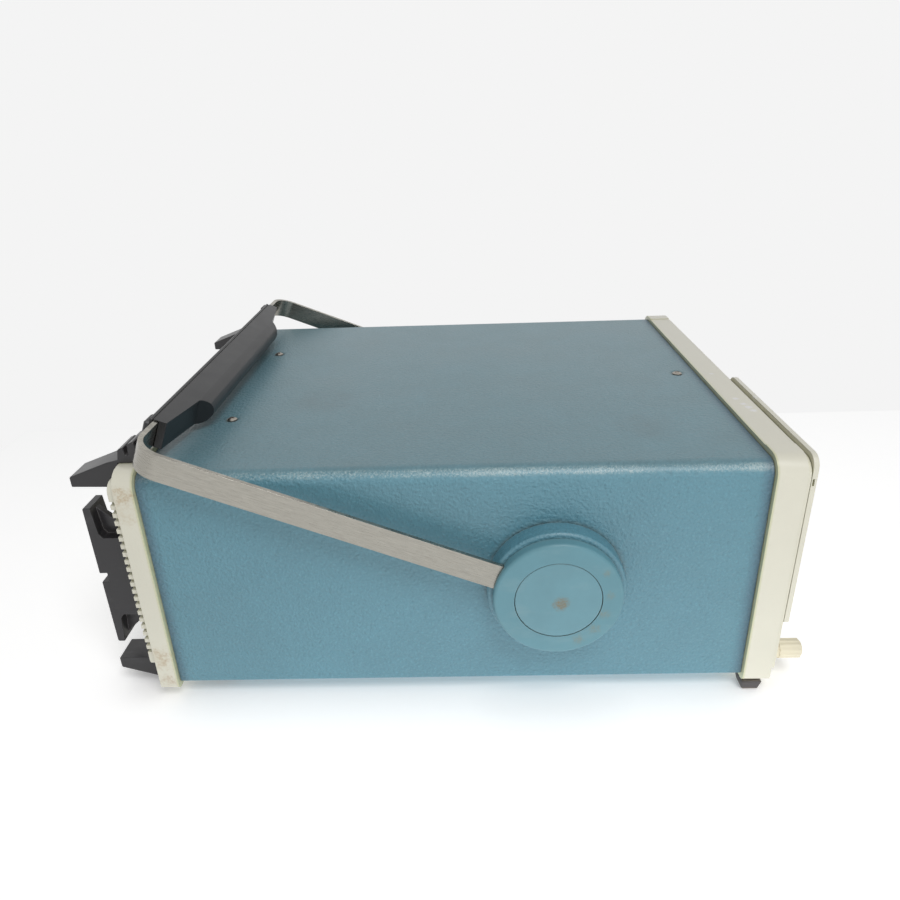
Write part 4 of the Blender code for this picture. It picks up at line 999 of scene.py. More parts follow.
@dataclass
class Cabinet(SubAssembly):
    """The blue sleeve with its lid screws, and the feet below it."""

    screws: tuple[str, ...] = ("lid_screw_1", "lid_screw_2", "lid_screw_3")
    feet: tuple[str, ...] = ("front_foot_left", "front_foot_right", "rear_pad_left", "rear_pad_right")

    def dress(self) -> None:
        """Give the sleeve, its screws and feet their finishes."""
        sleeve = Span.of("cabinet_sleeve")
        top = sleeve.high.z
        grime = (0.07, 0.055, 0.04)
        stains = [
            Stain((sleeve.low.x + 60 * MM, sleeve.low.y + 60 * MM, top), 26 * MM, (0.12, 0.16, 0.17), 0.30),
            Stain((sleeve.low.x + 120 * MM, sleeve.high.y - 90 * MM, top), 34 * MM, (0.11, 0.15, 0.16), 0.28),
        ]
        # Round each lid screw a darker ring: painted shade of its dimple, with grimy rust.
        for name in self.screws:
            head = Span.of(name)
            stains.append(Stain((head.centre.x, head.centre.y, top), 6.5 * MM, grime, 0.75, 0.45))
        # Painted shadow: a dark navy band on the sleeve beside each frame, where the proud frame shades it.
        frame_shadow_bands = tuple(Band(y, 9 * MM, (0.045, 0.085, 0.150), 0.55) for y in (sleeve.low.y, sleeve.high.y))
        # The sleeve's top takes a dark dusty film, partly painted shade.
        paint = Enamel(
            "blue_enamel", BLUE, worn=(0.42, 0.55, 0.56), rough=0.40, pebble=1.7 * MM, mottle=0.05,
            pebble_depth=1.1 * MM, dust=0.50, dust_colour=(0.112, 0.170, 0.178), wear=0.7,
            wear_reach=1.6 * MM, rim_wear=0.85, scratches=0.18, crease=0.7, grain=0.30,
            bands=frame_shadow_bands, stains=tuple(stains),
        )
        dress("cabinet_sleeve", paint.build())
        spots = tuple(Stain(tuple(Span.of(name).centre + Vector((-0.8 * MM, -1.0 * MM, 1.5 * MM))), 3.4 * MM,
                            (0.11, 0.075, 0.04), 0.9, 0.9) for name in self.screws)
        metal = BrushedMetal("bright_metal", (0.40, 0.37, 0.33), rough=0.34, across=UNBRUSHED, line=1 * MM,
                             stains=spots)
        dress(self.screws, metal.build())
        rubber = Moulding("dark_rubber", (0.085, 0.078, 0.078), scuff=(0.20, 0.19, 0.18), rough=0.8)
        dress(self.feet, rubber.build())


@dataclass
class Frames(SubAssembly):
    """The two ivory frames, the front panel with its bezel, and the rear cover.

    Each chip in the front frame's top is its place from the frame's left front corner and its size,
    in millimetres.
    """

    chips: tuple[Point, ...] = (
        (76.0, 5.0, 3.2), (82.0, 6.0, 3.6), (88.0, 7.0, 3.0), (98.0, 9.0, 2.8), (150.0, 9.0, 2.2),
    )

    def dress(self) -> None:
        """Give each ivory piece its paint and its own stains."""
        front = Span.of("front_frame")
        rear = Span.of("rear_frame")
        bezel = Span.of("display_bezel")
        chips = tuple(
            Stain((front.low.x + x * MM, front.low.y + y * MM, front.high.z), r * MM, CHIPPED, 0.95, 0.45)
            for x, y, r in self.chips
        )
        self._paint("front_frame", "ivory_front", chips)
        left = rear.low.x
        rust = (
            Stain((left, rear.centre.y, rear.high.z - 14 * MM), 8 * MM, TAN, 0.65, 1.0),
            Stain((left, rear.centre.y + 1 * MM, rear.high.z - 26 * MM), 9 * MM, (0.55, 0.43, 0.25), 0.35,
                  1.0),
            Stain((left, rear.high.y - 4 * MM, rear.low.z + 26 * MM), 11 * MM, TAN, 0.55, 1.0),
            Stain((left, rear.centre.y, rear.low.z + 8 * MM), 7 * MM, (0.45, 0.30, 0.16), 0.5, 1.0),
        )
        self._paint("rear_frame", "ivory_rear", rust)
        self._paint("front_panel", "ivory_panel", ())
        top = (bezel.low.x + 96 * MM, bezel.high.y, bezel.high.z)
        self._paint("display_bezel", "ivory_bezel", (Stain(top, 4 * MM, (0.93, 0.93, 0.92), 0.9, 0.9),))
        self._paint("rear_cover", "ivory_cover", ())

    @staticmethod
    def _lips(node: str) -> tuple[Band, ...]:
        """A yellow-green, darker band on the lip of a frame, where it meets the sleeve.

        Args:
            node: the CAD node.

        Returns:
            The tinted bands.
        """
        meets = {"front_frame": Span.of("front_frame").high.y, "rear_frame": Span.of("rear_frame").low.y}
        if node not in meets:
            return ()
        return (Band(meets[node], 1.9 * MM, (0.56, 0.58, 0.28), 0.62),)

    def _paint(self, node: str, name: str, stains: tuple[Stain, ...]) -> None:
        """Paint one node.

        Args:
            node: the CAD node.
            name: the finish's name.
            stains: its stains.
        """
        paint = Enamel(
            name, IVORY, worn=(0.56, 0.53, 0.42), grime=(0.34, 0.36, 0.17), rough=0.42, pebble=1.2 * MM,
            pebble_depth=0.08 * MM, mottle=0.03, wear=0.45, wear_reach=0.8 * MM, scratches=0.08,
            crease=0.45, crease_reach=3 * MM, stains=stains, bands=self._lips(node),
        )
        dress(node, paint.build())


@dataclass
class Hubs(SubAssembly):
    """The handle's two hubs: blue bases, caps and release buttons.

    Each scuff on a cap is its angle in radians, and its distance from the middle and its size in
    millimetres.
    """

    sides: tuple[str, str] = ("left", "right")
    scuffs: tuple[Point, ...] = (
        (-1.15, 31.0, 4.8), (-0.75, 30.0, 4.8), (-0.35, 29.0, 4.2), (0.1, 30.0, 3.6), (0.6, 33.0, 3.0),
    )

    def dress(self) -> None:
        """Give the hub pieces their finishes, with the wear of a much used handle."""
        for side in self.sides:
            cap = Span.of(f"hub_cap_{side}")
            button = Span.of(f"release_button_{side}")
            outer = cap.low.x if side == "left" else cap.high.x
            enamel = Enamel(
                f"hub_enamel_{side}", BLUE, worn=(0.40, 0.52, 0.53), rough=0.38, pebble=1.6 * MM,
                mottle=0.05, pebble_depth=0.9 * MM, wear=0.8, crease=0.25, crease_reach=2 * MM, grain=0.3,
            )
            dress(f"hub_base_{side}", enamel.build())
            scuffs = tuple(
                Stain((outer, cap.centre.y - radius * math.cos(turn) * MM,
                       cap.centre.z + radius * math.sin(turn) * MM),
                      size * MM, (0.26, 0.24, 0.15), 0.5, 0.9)
                for turn, radius, size in self.scuffs
            )
            plastic = Moulding(f"hub_plastic_{side}", BLUE_PLASTIC, scuff=(0.30, 0.42, 0.44), rough=0.44,
                               smears=0.2, stains=scuffs)
            dress(f"hub_cap_{side}", plastic.build())
            face = button.low.x if side == "left" else button.high.x
            smear = (face, button.centre.y - 1.4 * MM, button.centre.z - 2.2 * MM)
            rust = Stain(smear, 6.0 * MM, (0.235, 0.165, 0.075), 0.95, 0.55)
            worn = Moulding(f"button_plastic_{side}", (0.150, 0.325, 0.385), scuff=(0.30, 0.42, 0.44),
                            rough=0.4, smears=0.25, stains=(rust,))
            dress(f"release_button_{side}", worn.build())


@dataclass
class Handle(SubAssembly):
    """The brushed strip with its black two-part grip."""

    rest_angle: float = math.radians(22.0)

    def dress(self) -> None:
        """Give the strip and the grip their finishes."""
        steel = BrushedMetal(
            "brushed_steel", (0.37, 0.355, 0.315), turn=(self.rest_angle, 0.0, 0.0), rough=0.27,
        )
        dress("handle_strip", steel.build())
        plastic = Moulding("grip_plastic", (0.018, 0.0185, 0.020), scuff=(0.10, 0.10, 0.10), rough=0.40,
                           smears=0.18, dirt=(0.05, 0.045, 0.04))
        dress(("handle_grip", "grip_cover"), plastic.build(), soften=0.5 * MM)


@dataclass
class RearFittings(SubAssembly):
    """The black corner feet and cord cleats at the rear, the inlet and the fan."""

    feet: tuple[str, ...] = tuple(f"rear_foot_{v}_{h}" for v in ("upper", "lower") for h in ("left", "right"))
    cleats: tuple[str, str] = ("cord_cleat_left", "cord_cleat_right")
    screw_radius: float = 3.6 * MM
    screw_height: float = 1.7 * MM
    screw_reach: float = 110 * MM
    screw_inset: float = 10.5 * MM
    fan_screw_reach: float = 25.5 * MM
    recess_turns: tuple[float, float] = (math.radians(35), math.radians(125))
    cap_ridges: int = 18
    fitting_gap: float = 16 * MM

    def build(self) -> None:
        """Add the cover's screws, the fuse cap and the ground post."""
        cover = Span.of("rear_cover")
        metal = BrushedMetal("screw_steel", (0.56, 0.55, 0.52), rough=0.3, across=UNBRUSHED, line=1 * MM)
        steel = metal.build()
        fan = Span.of("fan_housing")
        places = [(side * self.screw_reach, z) for side in (-1, 1)
                  for z in (cover.low.z + self.screw_inset, cover.high.z - self.screw_inset)]
        places += [(fan.centre.x + i * self.fan_screw_reach, fan.centre.z + j * self.fan_screw_reach)
                   for i in (-1, 1) for j in (-1, 1)]
        for number, (x, z) in enumerate(places, start=1):
            self._screw(f"cover_screw_{number}", Vector((x, cover.high.y, z)), steel)
        inlet = Span.of("power_inlet")
        self._fuse_cap(Vector((inlet.high.x + self.fitting_gap, cover.high.y, inlet.centre.z)))
        self._ground_post(Vector((inlet.low.x - self.fitting_gap, cover.high.y, inlet.centre.z)), steel)

    def _screw(self, name: str, seat: Vector, metal: bpy.types.Material) -> None:
        """Add a domed screw head with a cross recess.

        Args:
            name: the piece's name.
            seat: its middle on the cover.
            metal: its finish.
        """
        radius, height = self.screw_radius, self.screw_height
        outer = [(radius * math.cos(a), height * (0.45 + 0.55 * math.sin(a)))
                 for a in (math.pi / 2 * k / 6 for k in range(6))]
        dimple = [(1.1 * MM, height), (0.9 * MM, height * 0.35), (0, height * 0.3)]
        head = Piece(name)
        head.turned([(0, 0), (radius, 0)] + outer + dimple, seat, BACKWARD, 24)
        for turn in self.recess_turns:
            way = ray(turn)
            across = Vector((-way.z, 0.0, way.x)) * 0.35 * MM
            rise = BACKWARD * height * 0.96
            top, half = seat + rise, way * radius * 0.62
            outline = [top + half - across, top + half + across, top - half + across, top - half - across]
            head.slab(outline, BACKWARD * 0.14 * MM)
        head.place(Body.CABINET, metal, "bright_metal")

    def _fuse_cap(self, seat: Vector) -> None:
        """Add the fuse holder's ridged cap.

        Args:
            seat: its middle on the cover.
        """
        rubber = Moulding("fuse_plastic", (0.03, 0.03, 0.032), scuff=(0.18, 0.18, 0.18), rough=0.42).build()
        cap = Piece("fuse_cap")
        cap.turned(((0, 0), (8.0 * MM, 0), (8.0 * MM, 1.6 * MM), (7.6 * MM, 2.0 * MM), (6.0 * MM, 2.0 * MM),
                    (5.8 * MM, 9.0 * MM), (5.2 * MM, 9.8 * MM), (0, 9.8 * MM)), seat, BACKWARD)
        length = BACKWARD * 5.8 * MM
        for k in range(self.cap_ridges):
            way = ray(math.tau * k / self.cap_ridges)
            across = Vector((-way.z, 0.0, way.x)) * 0.45 * MM
            start = seat + BACKWARD * 2.6 * MM + way * 5.7 * MM
            cap.slab([start - across, start + across, start + across + length, start - across + length],
                     way * 0.6 * MM)
        cap.place(Body.CABINET, rubber, "black_moulding")

    def _ground_post(self, seat: Vector, metal: bpy.types.Material) -> None:
        """Add the ground post: a flange, a stud and a six-sided nut.

        Args:
            seat: its middle on the cover.
            metal: its finish.
        """
        post = Piece("ground_post")
        post.turned(((0, 0), (6.0 * MM, 0), (6.0 * MM, 1.2 * MM), (2.2 * MM, 1.2 * MM), (2.2 * MM, 12.0 * MM),
                     (1.8 * MM, 12.4 * MM), (0, 12.4 * MM)), seat, BACKWARD)
        post.turned(((0, 4.0 * MM), (4.6 * MM, 4.0 * MM), (5.0 * MM, 4.4 * MM), (5.0 * MM, 8.6 * MM),
                     (4.6 * MM, 9.0 * MM), (0, 9.0 * MM)), seat, BACKWARD, 6)
        post.place(Body.CABINET, metal, "bright_metal")

    def dress(self) -> None:
        """Give the black mouldings, the inlet and the fan their finishes."""
        # Painted highlight: the pale scuff colour, laid on at full wear, stands for the bright edges of these
        # mouldings as well as their wear.
        black = Moulding("black_moulding", (0.022, 0.021, 0.023), scuff=(0.34, 0.34, 0.35), rough=0.34,
                         wear=1.0, smears=0.08, dirt=(0.10, 0.09, 0.085))
        dress(self.feet + self.cleats, black.build(), soften=0.7 * MM)
        grey = Moulding("grey_moulding", (0.06, 0.062, 0.065), scuff=(0.20, 0.20, 0.20), rough=0.5)
        dress(("power_inlet", "fan_housing", "fan_rotor"), grey.build())


class Wave(Enum):
    """The six waveforms, each as the corners of one period from 0 to 1 and -1 to 1."""

    SINE = tuple((k / 24, math.sin(math.tau * k / 24)) for k in range(25))
    SQUARE = ((0.0, -1.0), (0.0, 1.0), (0.5, 1.0), (0.5, -1.0), (1.0, -1.0), (1.0, 1.0))
    TRIANGLE = ((0.0, -1.0), (0.5, 1.0), (1.0, -1.0))
    RAMP = ((0.0, -1.0), (0.92, 1.0), (0.92, -1.0), (1.0, -1.0))
    PULSE = ((0.0, -1.0), (0.35, -1.0), (0.35, 1.0), (0.6, 1.0), (0.6, -1.0), (1.0, -1.0))
    DC = ((0.0, 0.0), (1.0, 0.0))


@dataclass
class FrontLegends(SubAssembly):
    """The marks printed on the front panel: waveform signs, scales, numbers and outlines."""

    depth: float = 0.12 * MM
    line: float = 0.45 * MM
    sign_width: float = 9 * MM
    sign_height: float = 3.4 * MM
    sweep: float = math.radians(280)
    number_size: float = 4.6 * MM
    key_number_size: float = 3.6 * MM
    ring_steps: int = 48
    turn: Matrix = field(default_factory=lambda: Matrix.Rotation(math.radians(90), 3, "X"))
    face: float = field(default_factory=lambda: Span.of("front_panel").low.y)

    def build(self) -> None:
        """Print every mark on the panel."""
        ink = Ink("legend_ink", (0.045, 0.055, 0.060)).build()
        self._signs(ink)
        self._scales(ink)
        self._key_numbers(ink)
        self._outlines(ink)

    def _at(self, x: float, z: float) -> Vector:
        """A place on the panel's face."""
        return Vector((x, self.face, z))

    @property
    def _lift(self) -> Vector:
        """How the ink stands off the panel."""
        return Vector((0.0, -self.depth, 0.0))

    def _signs(self, ink: bpy.types.Material) -> None:
        """Draw the waveform signs above their keys.

        Args:
            ink: the ink.
        """
        for wave in Wave:
            key = Span.of(f"{wave.name.lower()}_key")
            sign = Piece(f"{wave.name.lower()}_sign")
            middle = key.high.z + self.sign_height * 0.5 + 2.6 * MM
            corners = [self._at(key.centre.x + (t - 0.5) * self.sign_width, middle + v * self.sign_height / 2)
                       for t, v in wave.value]
            if wave is Wave.SINE:
                sign.ribbon(corners, self.line, self._lift)
            else:
                for first, second in zip(corners, corners[1:]):
                    along = (second - first).normalized() * (self.line / 2)
                    sign.ribbon((first - along, second + along), self.line, self._lift)
            sign.place(Body.CABINET, ink)

    def _scales(self, ink: bpy.types.Material) -> None:
        """Draw the tick marks and numbers around the dial and the trim knobs.

        Args:
            ink: the ink.
        """
        scales = {"frequency_dial": (50, 5, 1.6 * MM), "amplitude_knob": (10, 5, 1.5 * MM),
                  "offset_knob": (10, 5, 1.5 * MM), "symmetry_knob": (10, 5, 1.5 * MM)}
        for name, (count, major, gap) in scales.items():
            knob = Span.of(name)
            radius = knob.size.x / 2 + gap
            ticks = Piece(f"{name}_scale")
            for k in range(count + 1):
                way = ray(math.pi / 2 + self.sweep * (0.5 - k / count))
                reach, weight = (3.2 * MM, 1.0) if k % major == 0 else (1.8 * MM, 0.6)
                start = self._at(knob.centre.x, knob.centre.z) + way * radius
                ticks.ribbon((start, start + way * reach), self.line * weight, self._lift)
                if name == "frequency_dial" and k % major == 0:
                    ticks.words(str(k // major), start + way * (reach + 3.0 * MM), self.number_size,
                                self.depth, self.turn)
            ticks.place(Body.CABINET, ink)

    def _key_numbers(self, ink: bpy.types.Material) -> None:
        """Number the range keys and give the power key its sign.

        Args:
            ink: the ink.
        """
        for k in range(1, 6):
            key = Span.of(f"range_key_{k}")
            number = Piece(f"range_number_{k}")
            number.words(str(k), self._at(key.centre.x, key.high.z + 4.4 * MM), self.key_number_size,
                         self.depth, self.turn)
            number.place(Body.CABINET, ink)
        key = Span.of("power_key")
        sign = Piece("power_sign")
        middle = self._at(key.centre.x, key.high.z + 4.6 * MM)
        arc = [middle + Vector((math.sin(a), 0.0, math.cos(a))) * 1.9 * MM
               for a in (0.7 + (math.tau - 1.4) * k / 20 for k in range(21))]
        sign.ribbon(arc, self.line, self._lift)
        sign.ribbon((middle + Vector((0.0, 0.0, 0.5 * MM)), middle + Vector((0.0, 0.0, 2.6 * MM))), self.line,
                    self._lift)
        sign.place(Body.CABINET, ink)

    def _outlines(self, ink: bpy.types.Material) -> None:
        """Draw a ring around each socket and a line below the waveform keys.

        Args:
            ink: the ink.
        """
        for name in ("main_socket", "sync_socket", "sweep_socket"):
            socket = Span.of(name)
            ring = Piece(f"{name}_ring")
            radius = socket.size.x / 2 + 2.2 * MM
            middle = self._at(socket.centre.x, socket.centre.z)
            turns = (math.tau * k / self.ring_steps for k in range(self.ring_steps))
            ring.ribbon([middle + ray(turn) * radius for turn in turns], self.line, self._lift, closed=True)
            ring.place(Body.CABINET, ink)
        first, last = Span.of("sine_key"), Span.of("dc_key")
        rule = Piece("waveform_rule")
        level = first.low.z - 3.4 * MM
        rule.ribbon((self._at(first.low.x, level), self._at(last.high.x, level)), self.line, self._lift)
        rule.place(Body.CABINET, ink)


@dataclass
class Display(SubAssembly):
    """The graticule on the display window."""

    columns: int = 10
    rows: int = 8
    square: float = 9.6 * MM
    line: float = 0.22 * MM
    depth: float = 0.06 * MM
    parts_per_square: int = 5
    tick: float = 0.8 * MM

    def build(self) -> None:
        """Draw the graticule."""
        glass = Span.of("display_window")
        ink = Ink("graticule_ink", (0.20, 0.34, 0.30), rough=0.4).build()
        lift = Vector((0.0, -self.depth, 0.0))
        grid = Piece("graticule")
        half = Vector((self.columns * self.square / 2, 0.0, self.rows * self.square / 2))
        middle = Vector((glass.centre.x, glass.low.y, glass.centre.z))
        for k in range(self.columns + 1):
            x = -half.x + k * self.square
            grid.ribbon((middle + Vector((x, 0, -half.z)), middle + Vector((x, 0, half.z))), self.line, lift)
        for k in range(self.rows + 1):
            z = -half.z + k * self.square
            grid.ribbon((middle + Vector((-half.x, 0, z)), middle + Vector((half.x, 0, z))), self.line, lift)
        for k in range(self.columns * self.parts_per_square + 1):
            x = -half.x + k * self.square / self.parts_per_square
            ends = [middle + Vector((x, 0, rise)) for rise in (-self.tick, self.tick)]
            grid.ribbon(ends, self.line, lift)
        grid.place(Body.CABINET, ink)


@dataclass
class FrontControls(SubAssembly):
    """Knobs, keys, sockets and the small turned pieces at the front."""

    knobs: tuple[str, ...] = ("frequency_dial", "amplitude_knob", "offset_knob", "symmetry_knob")
    keys: tuple[str, ...] = ("sine_key", "square_key", "triangle_key", "ramp_key", "pulse_key", "dc_key",
                             "range_key_1", "range_key_2", "range_key_3", "range_key_4", "range_key_5")
    sockets: tuple[str, ...] = ("main_socket", "sync_socket", "sweep_socket")
    pointer_width: float = 1.1 * MM
    pointer_depth: float = 0.25 * MM
    pointer_span: tuple[float, float] = (0.18, 0.70)
    flute_angle: float = 30.0

    def build(self) -> None:
        """Add the socket cores, the knob pointers and the power lamp."""
        white = Ink("pointer_ink", (0.80, 0.80, 0.76)).build()
        brass = BrushedMetal("contact_brass", (0.72, 0.52, 0.24), rough=0.25, across=UNBRUSHED, line=1 * MM)
        pin_metal = brass.build()
        plastic = Moulding("insulator_plastic", (0.72, 0.70, 0.64), scuff=(0.8, 0.8, 0.75), rough=0.4)
        insulator = plastic.build()
        for name in self.sockets:
            socket = Span.of(name)
            seat = Vector((socket.centre.x, socket.low.y + 10 * MM, socket.centre.z))
            core = Piece(f"{name}_core")
            core.turned(((0, 0), (3.9 * MM, 0), (3.9 * MM, 2.6 * MM), (2.2 * MM, 2.6 * MM),
                         (2.1 * MM, 7.0 * MM), (1.1 * MM, 7.2 * MM), (1.0 * MM, 5.5 * MM), (0, 5.5 * MM)),
                        seat, FORWARD)
            core.place(Body.CABINET, insulator, "ivory_moulding")
            pin = Piece(f"{name}_pin")
            pin.turned(((0, 5.0 * MM), (0.7 * MM, 5.0 * MM), (0.7 * MM, 7.6 * MM), (0.45 * MM, 8.0 * MM),
                        (0, 8.0 * MM)), seat, FORWARD, 16)
            pin.place(Body.CABINET, pin_metal, "bright_metal")
        pointers = {"frequency_dial": Body.DIAL, "amplitude_knob": Body.AMPLITUDE, "offset_knob": Body.OFFSET,
                    "symmetry_knob": Body.SYMMETRY}
        for name, body in pointers.items():
            knob = Span.of(name)
            reach = knob.size.x / 2
            middle = Vector((knob.centre.x, knob.low.y, knob.centre.z))
            pointer = Piece(f"{name}_pointer")
            ends = [middle + Vector((0, 0, reach * share)) for share in self.pointer_span]
            pointer.ribbon(ends, self.pointer_width, FORWARD * self.pointer_depth)
            pointer.place(body, white)
        key = Span.of("power_key")
        seat = Vector((key.low.x - 8 * MM, Span.of("front_panel").low.y, key.centre.z))
        ring = Piece("power_lamp_ring")
        ring.turned(((1.8 * MM, 0), (2.9 * MM, 0), (2.9 * MM, 0.9 * MM), (2.5 * MM, 1.3 * MM),
                     (1.9 * MM, 1.3 * MM), (1.8 * MM, 0.9 * MM), (1.8 * MM, 0)), seat, FORWARD)
        ring.place(Body.CABINET, pin_metal, "bright_metal")
        lens = Piece("power_lamp")
        lens.turned([(0, 0), (1.8 * MM, 0)] + [(1.8 * MM * math.cos(a), 0.8 * MM + 1.5 * MM * math.sin(a))
                                             for a in (math.pi / 2 * k / 6 for k in range(6))]
                    + [(0, 2.3 * MM)], seat, FORWARD)
        lens.place(Body.CABINET, ScreenGlass("lamp_lens", (0.35, 0.015, 0.01)).build(), "display_glass")

    def dress(self) -> None:
        """Give the controls their finishes."""
        knob = Moulding("ivory_knob", (0.84, 0.78, 0.60), scuff=(0.90, 0.87, 0.74), dirt=(0.42, 0.30, 0.14),
                        rough=0.42, crease=0.8, smears=0.1)
        dress("focus_knob", knob.build(), self.flute_angle)
        dark = Moulding("grey_knob", (0.060, 0.063, 0.068), scuff=(0.24, 0.24, 0.25), rough=0.38, smears=0.1)
        dress(self.knobs, dark.build(), self.flute_angle)
        key = Moulding("key_plastic", (0.60, 0.57, 0.47), scuff=(0.78, 0.75, 0.66), rough=0.4, smears=0.15)
        dress(self.keys, key.build())
        dress("power_key", Moulding("power_key_plastic", (0.07, 0.072, 0.075), scuff=(0.25, 0.25, 0.25),
                                    rough=0.4).build())
        metal = BrushedMetal(
            "socket_metal", (0.66, 0.64, 0.60), rough=0.24, across=(1.0, 20.0, 1.0), line=2 * MM,
        )
        dress(self.sockets, metal.build())
        dress("display_window", ScreenGlass("display_glass", (0.012, 0.030, 0.024)).build())
        dress("picture_tube", ScreenGlass("tube_glass", (0.05, 0.08, 0.07)).build())


@dataclass
class Chassis(SubAssembly):
    """The tray, boards and power supply inside the cabinet."""

    def dress(self) -> None:
        """Give the inner pieces their finishes."""
        alloy = BrushedMetal("alloy_sheet", (0.55, 0.56, 0.56), rough=0.42, across=(40.0, 1.0, 1.0))
        dress(("chassis_tray", "power_supply"), alloy.build())
        dress(("main_board", "control_board"), PrintedBoard("circuit_board").build())


# ---------------------------------------------------------------------------------------
# Room, lamps and camera
# ---------------------------------------------------------------------------------------


@dataclass(frozen=True)
class Softbox:
    """A square soft lamp."""

    name: str
    place: Point
    target: Point
    size: float
    power: float

    def hang(self) -> None:
        """Hang the lamp at its place, out of the camera's sight, and point it at its target."""
        data = bpy.data.lights.new(self.name, "AREA")
        data.shape = "SQUARE"
        data.size = self.size
        data.energy = self.power
        lamp = put_in_scene(self.name, data)
        lamp.visible_camera = False
        lamp.location = self.place
        lamp.rotation_mode = "QUATERNION"
        lamp.rotation_quaternion = (Vector(self.target) - Vector(self.place)).to_track_quat("-Z", "Y")


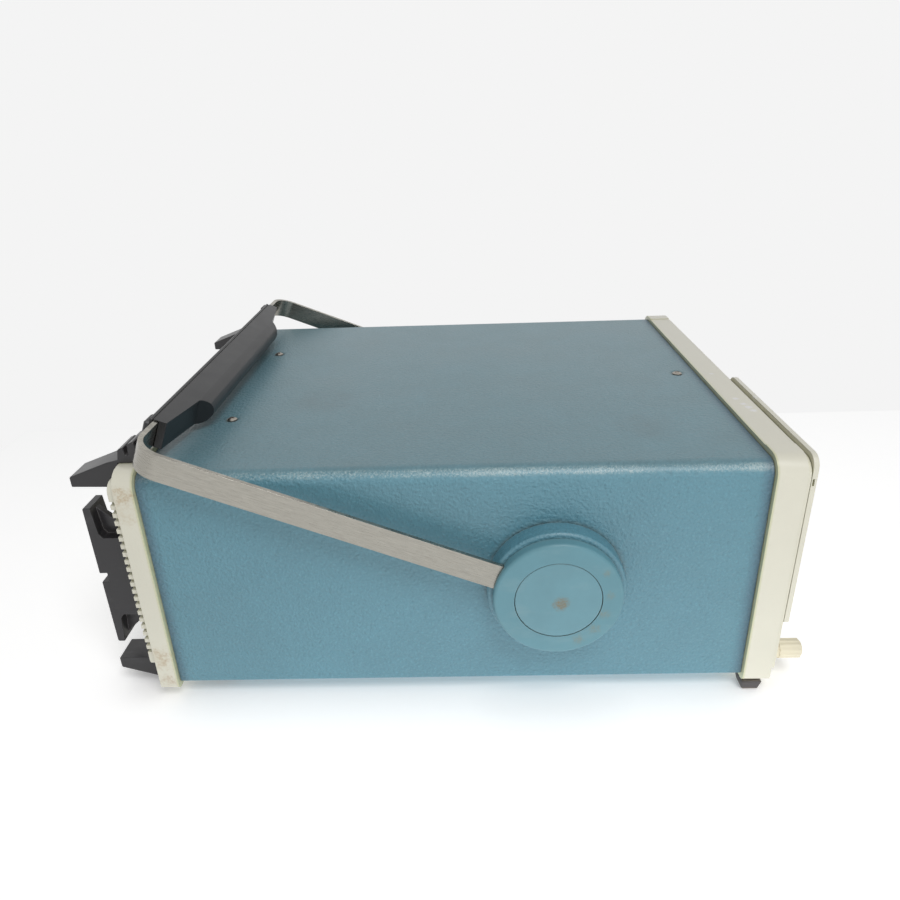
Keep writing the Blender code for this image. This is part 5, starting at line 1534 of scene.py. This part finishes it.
@dataclass
class Room:
    """The pale floor, the backdrop beyond it and the soft lamps."""

    reach: float = 12.0
    floor_tone: float = 0.84
    floor_lift: float = 0.56
    # How dark the painted shadow round the object is, and how far from it the shadow reaches.
    contact: float = 0.6
    contact_reach: float = 60 * MM
    backdrop: float = 0.905
    seam_x: float = 0.306
    seam_y: float = 0.545
    sky: float = 0.22
    mirror: float = 0.9
    pool: float = 0.95
    pool_centre: Point = (-0.16, -0.10, 0.0)
    pool_reach: float = 0.55
    lamps: tuple[Softbox, ...] = (
        Softbox("overhead_softbox", (-1.0, -0.35, 1.5), (0.0, 0.0, 0.05), 0.7, 13.0),
        Softbox("left_softbox", (-1.7, -0.45, 0.42), (0.0, 0.0, 0.08), 1.1, 3.4),
    )

    def build(self) -> None:
        """Make the floor, the world and the lamps."""
        self._floor()
        self._world()
        for lamp in self.lamps:
            lamp.hang()

    def _paint(self) -> bpy.types.Material:
        """A white that turns into the pale backdrop beyond its seams, with a painted shadow round the object
        and a glow near the object.

        Returns:
            The floor's finish.
        """
        graph = Graph.named("pale_floor")
        beyond = graph.axis("X").step(self.seam_x - 2 * MM, self.seam_x + 2 * MM)
        side = graph.axis("Y").step(self.seam_y - 4 * MM, self.seam_y + 4 * MM)
        tone = graph.noise(0.6, detail=2.0, rough=0.5, seed=1.0)
        colour = graph.mix(beyond.highest(side), (self.floor_tone,) * 3, (self.floor_tone * 0.9,) * 3)
        worn = graph.mix(tone * 0.06, colour, (0.7, 0.7, 0.7))
        diffuse = graph.wire("ShaderNodeBsdfDiffuse", {}, {"Color": worn})
        # Painted shadow: the floor's glow is dimmed where occlusion finds the object close by.
        shade = graph.mix(graph.creases(self.contact_reach) * self.contact, WHITE, BLACK)
        glow = graph.wire("ShaderNodeEmission", {}, {"Color": shade, "Strength": self.floor_lift})
        wall = graph.wire("ShaderNodeEmission", {}, {"Color": (*WHITE, 1.0), "Strength": self.backdrop})
        lifted = graph.wire("ShaderNodeAddShader", {}, {0: diffuse, 1: glow})
        seen = graph.blend(beyond.highest(side), lifted, wall)
        rays = graph.node("ShaderNodeLightPath")
        camera, glossy, through = (
            Wire(graph, rays.outputs[f"Is {kind} Ray"]) for kind in ("Camera", "Glossy", "Transmission"))
        direct = camera.highest(glossy).highest(through)
        near = graph.mix(graph.distance(self.pool_centre).step(self.pool_reach, 0.0), BLACK, WHITE)
        bounce = graph.wire("ShaderNodeEmission", {}, {"Color": near, "Strength": self.pool})
        pooled = graph.wire("ShaderNodeAddShader", {}, {0: diffuse, 1: bounce})
        graph.node("ShaderNodeOutputMaterial", {}, {"Surface": graph.blend(direct, pooled, seen)})
        graph.owner.cycles.emission_sampling = "NONE"
        return graph.owner

    def _floor(self) -> None:
        """Lay the floor at the height of the object's feet."""
        mesh = bmesh.new()
        corners = [mesh.verts.new((x, y, 0.0)) for x, y in ((-1, -1), (1, -1), (1, 1), (-1, 1))]
        mesh.faces.new(corners)
        bmesh.ops.scale(mesh, vec=(self.reach,) * 3, verts=mesh.verts)
        data = bpy.data.meshes.new("floor")
        mesh.to_mesh(data)
        mesh.free()
        data.materials.append(self._paint())
        floor = put_in_scene("floor", data)
        floor.location.z = CAD_BOX[0].z

    def _world(self) -> None:
        """An even pale sky; straight rays see it as the white backdrop."""
        world = bpy.data.worlds.new("studio")
        bpy.context.scene.world = world
        graph = Graph(world)
        rays = graph.node("ShaderNodeLightPath")
        sky, mirror, wall = (
            graph.wire("ShaderNodeBackground", {}, {"Color": (*WHITE, 1.0), "Strength": strength})
            for strength in (self.sky, self.mirror, self.backdrop))
        shiny = graph.blend(Wire(graph, rays.outputs["Is Glossy Ray"]), sky, mirror)
        seen = graph.blend(Wire(graph, rays.outputs["Is Camera Ray"]), shiny, wall)
        graph.node("ShaderNodeOutputWorld", {}, {"Surface": seen})


@dataclass
class Viewpoint:
    """The camera at the cabinet's left side, beside its middle and above it."""

    place: Point = (-0.53251, -0.01221, 0.34628)
    yaw: float = math.radians(1.625)
    pitch: float = math.radians(-24.718)
    roll: float = math.radians(-1.981)
    sensor: float = 36.0
    lens: float = 29.154
    clip: tuple[float, float] = (0.01, 100.0)

    def build(self) -> None:
        """Make the camera."""
        reach = math.cos(self.pitch)
        forward = Vector((reach * math.cos(self.yaw), reach * math.sin(self.yaw), math.sin(self.pitch)))
        level = Vector((math.sin(self.yaw), -math.cos(self.yaw), 0.0))
        upward = level.cross(forward)
        right = level * math.cos(self.roll) + upward * math.sin(self.roll)
        above = upward * math.cos(self.roll) - level * math.sin(self.roll)
        data = bpy.data.cameras.new("viewpoint")
        data.sensor_width = self.sensor
        data.lens = self.lens
        data.clip_start, data.clip_end = self.clip
        camera = put_in_scene("viewpoint", data)
        turn = Matrix((right, above, -forward)).transposed().to_4x4()
        camera.matrix_world = Matrix.Translation(self.place) @ turn
        bpy.context.scene.camera = camera


def main() -> None:
    """Set up the camera and the room, then build every sub-assembly in order."""
    logging.basicConfig(level=logging.INFO, format="%(name)s: %(message)s")
    bpy.context.scene.view_settings.view_transform = "Standard"
    Viewpoint().build()
    Room().build()
    for part in (Cabinet(), Frames(), Hubs(), Handle(), RearFittings(), FrontControls(), FrontLegends(),
                 Display(), Chassis()):
        LOG.info("sub-assembly %s", type(part).__name__)
        part.build()
        part.dress()


if __name__ == "__main__":
    main()
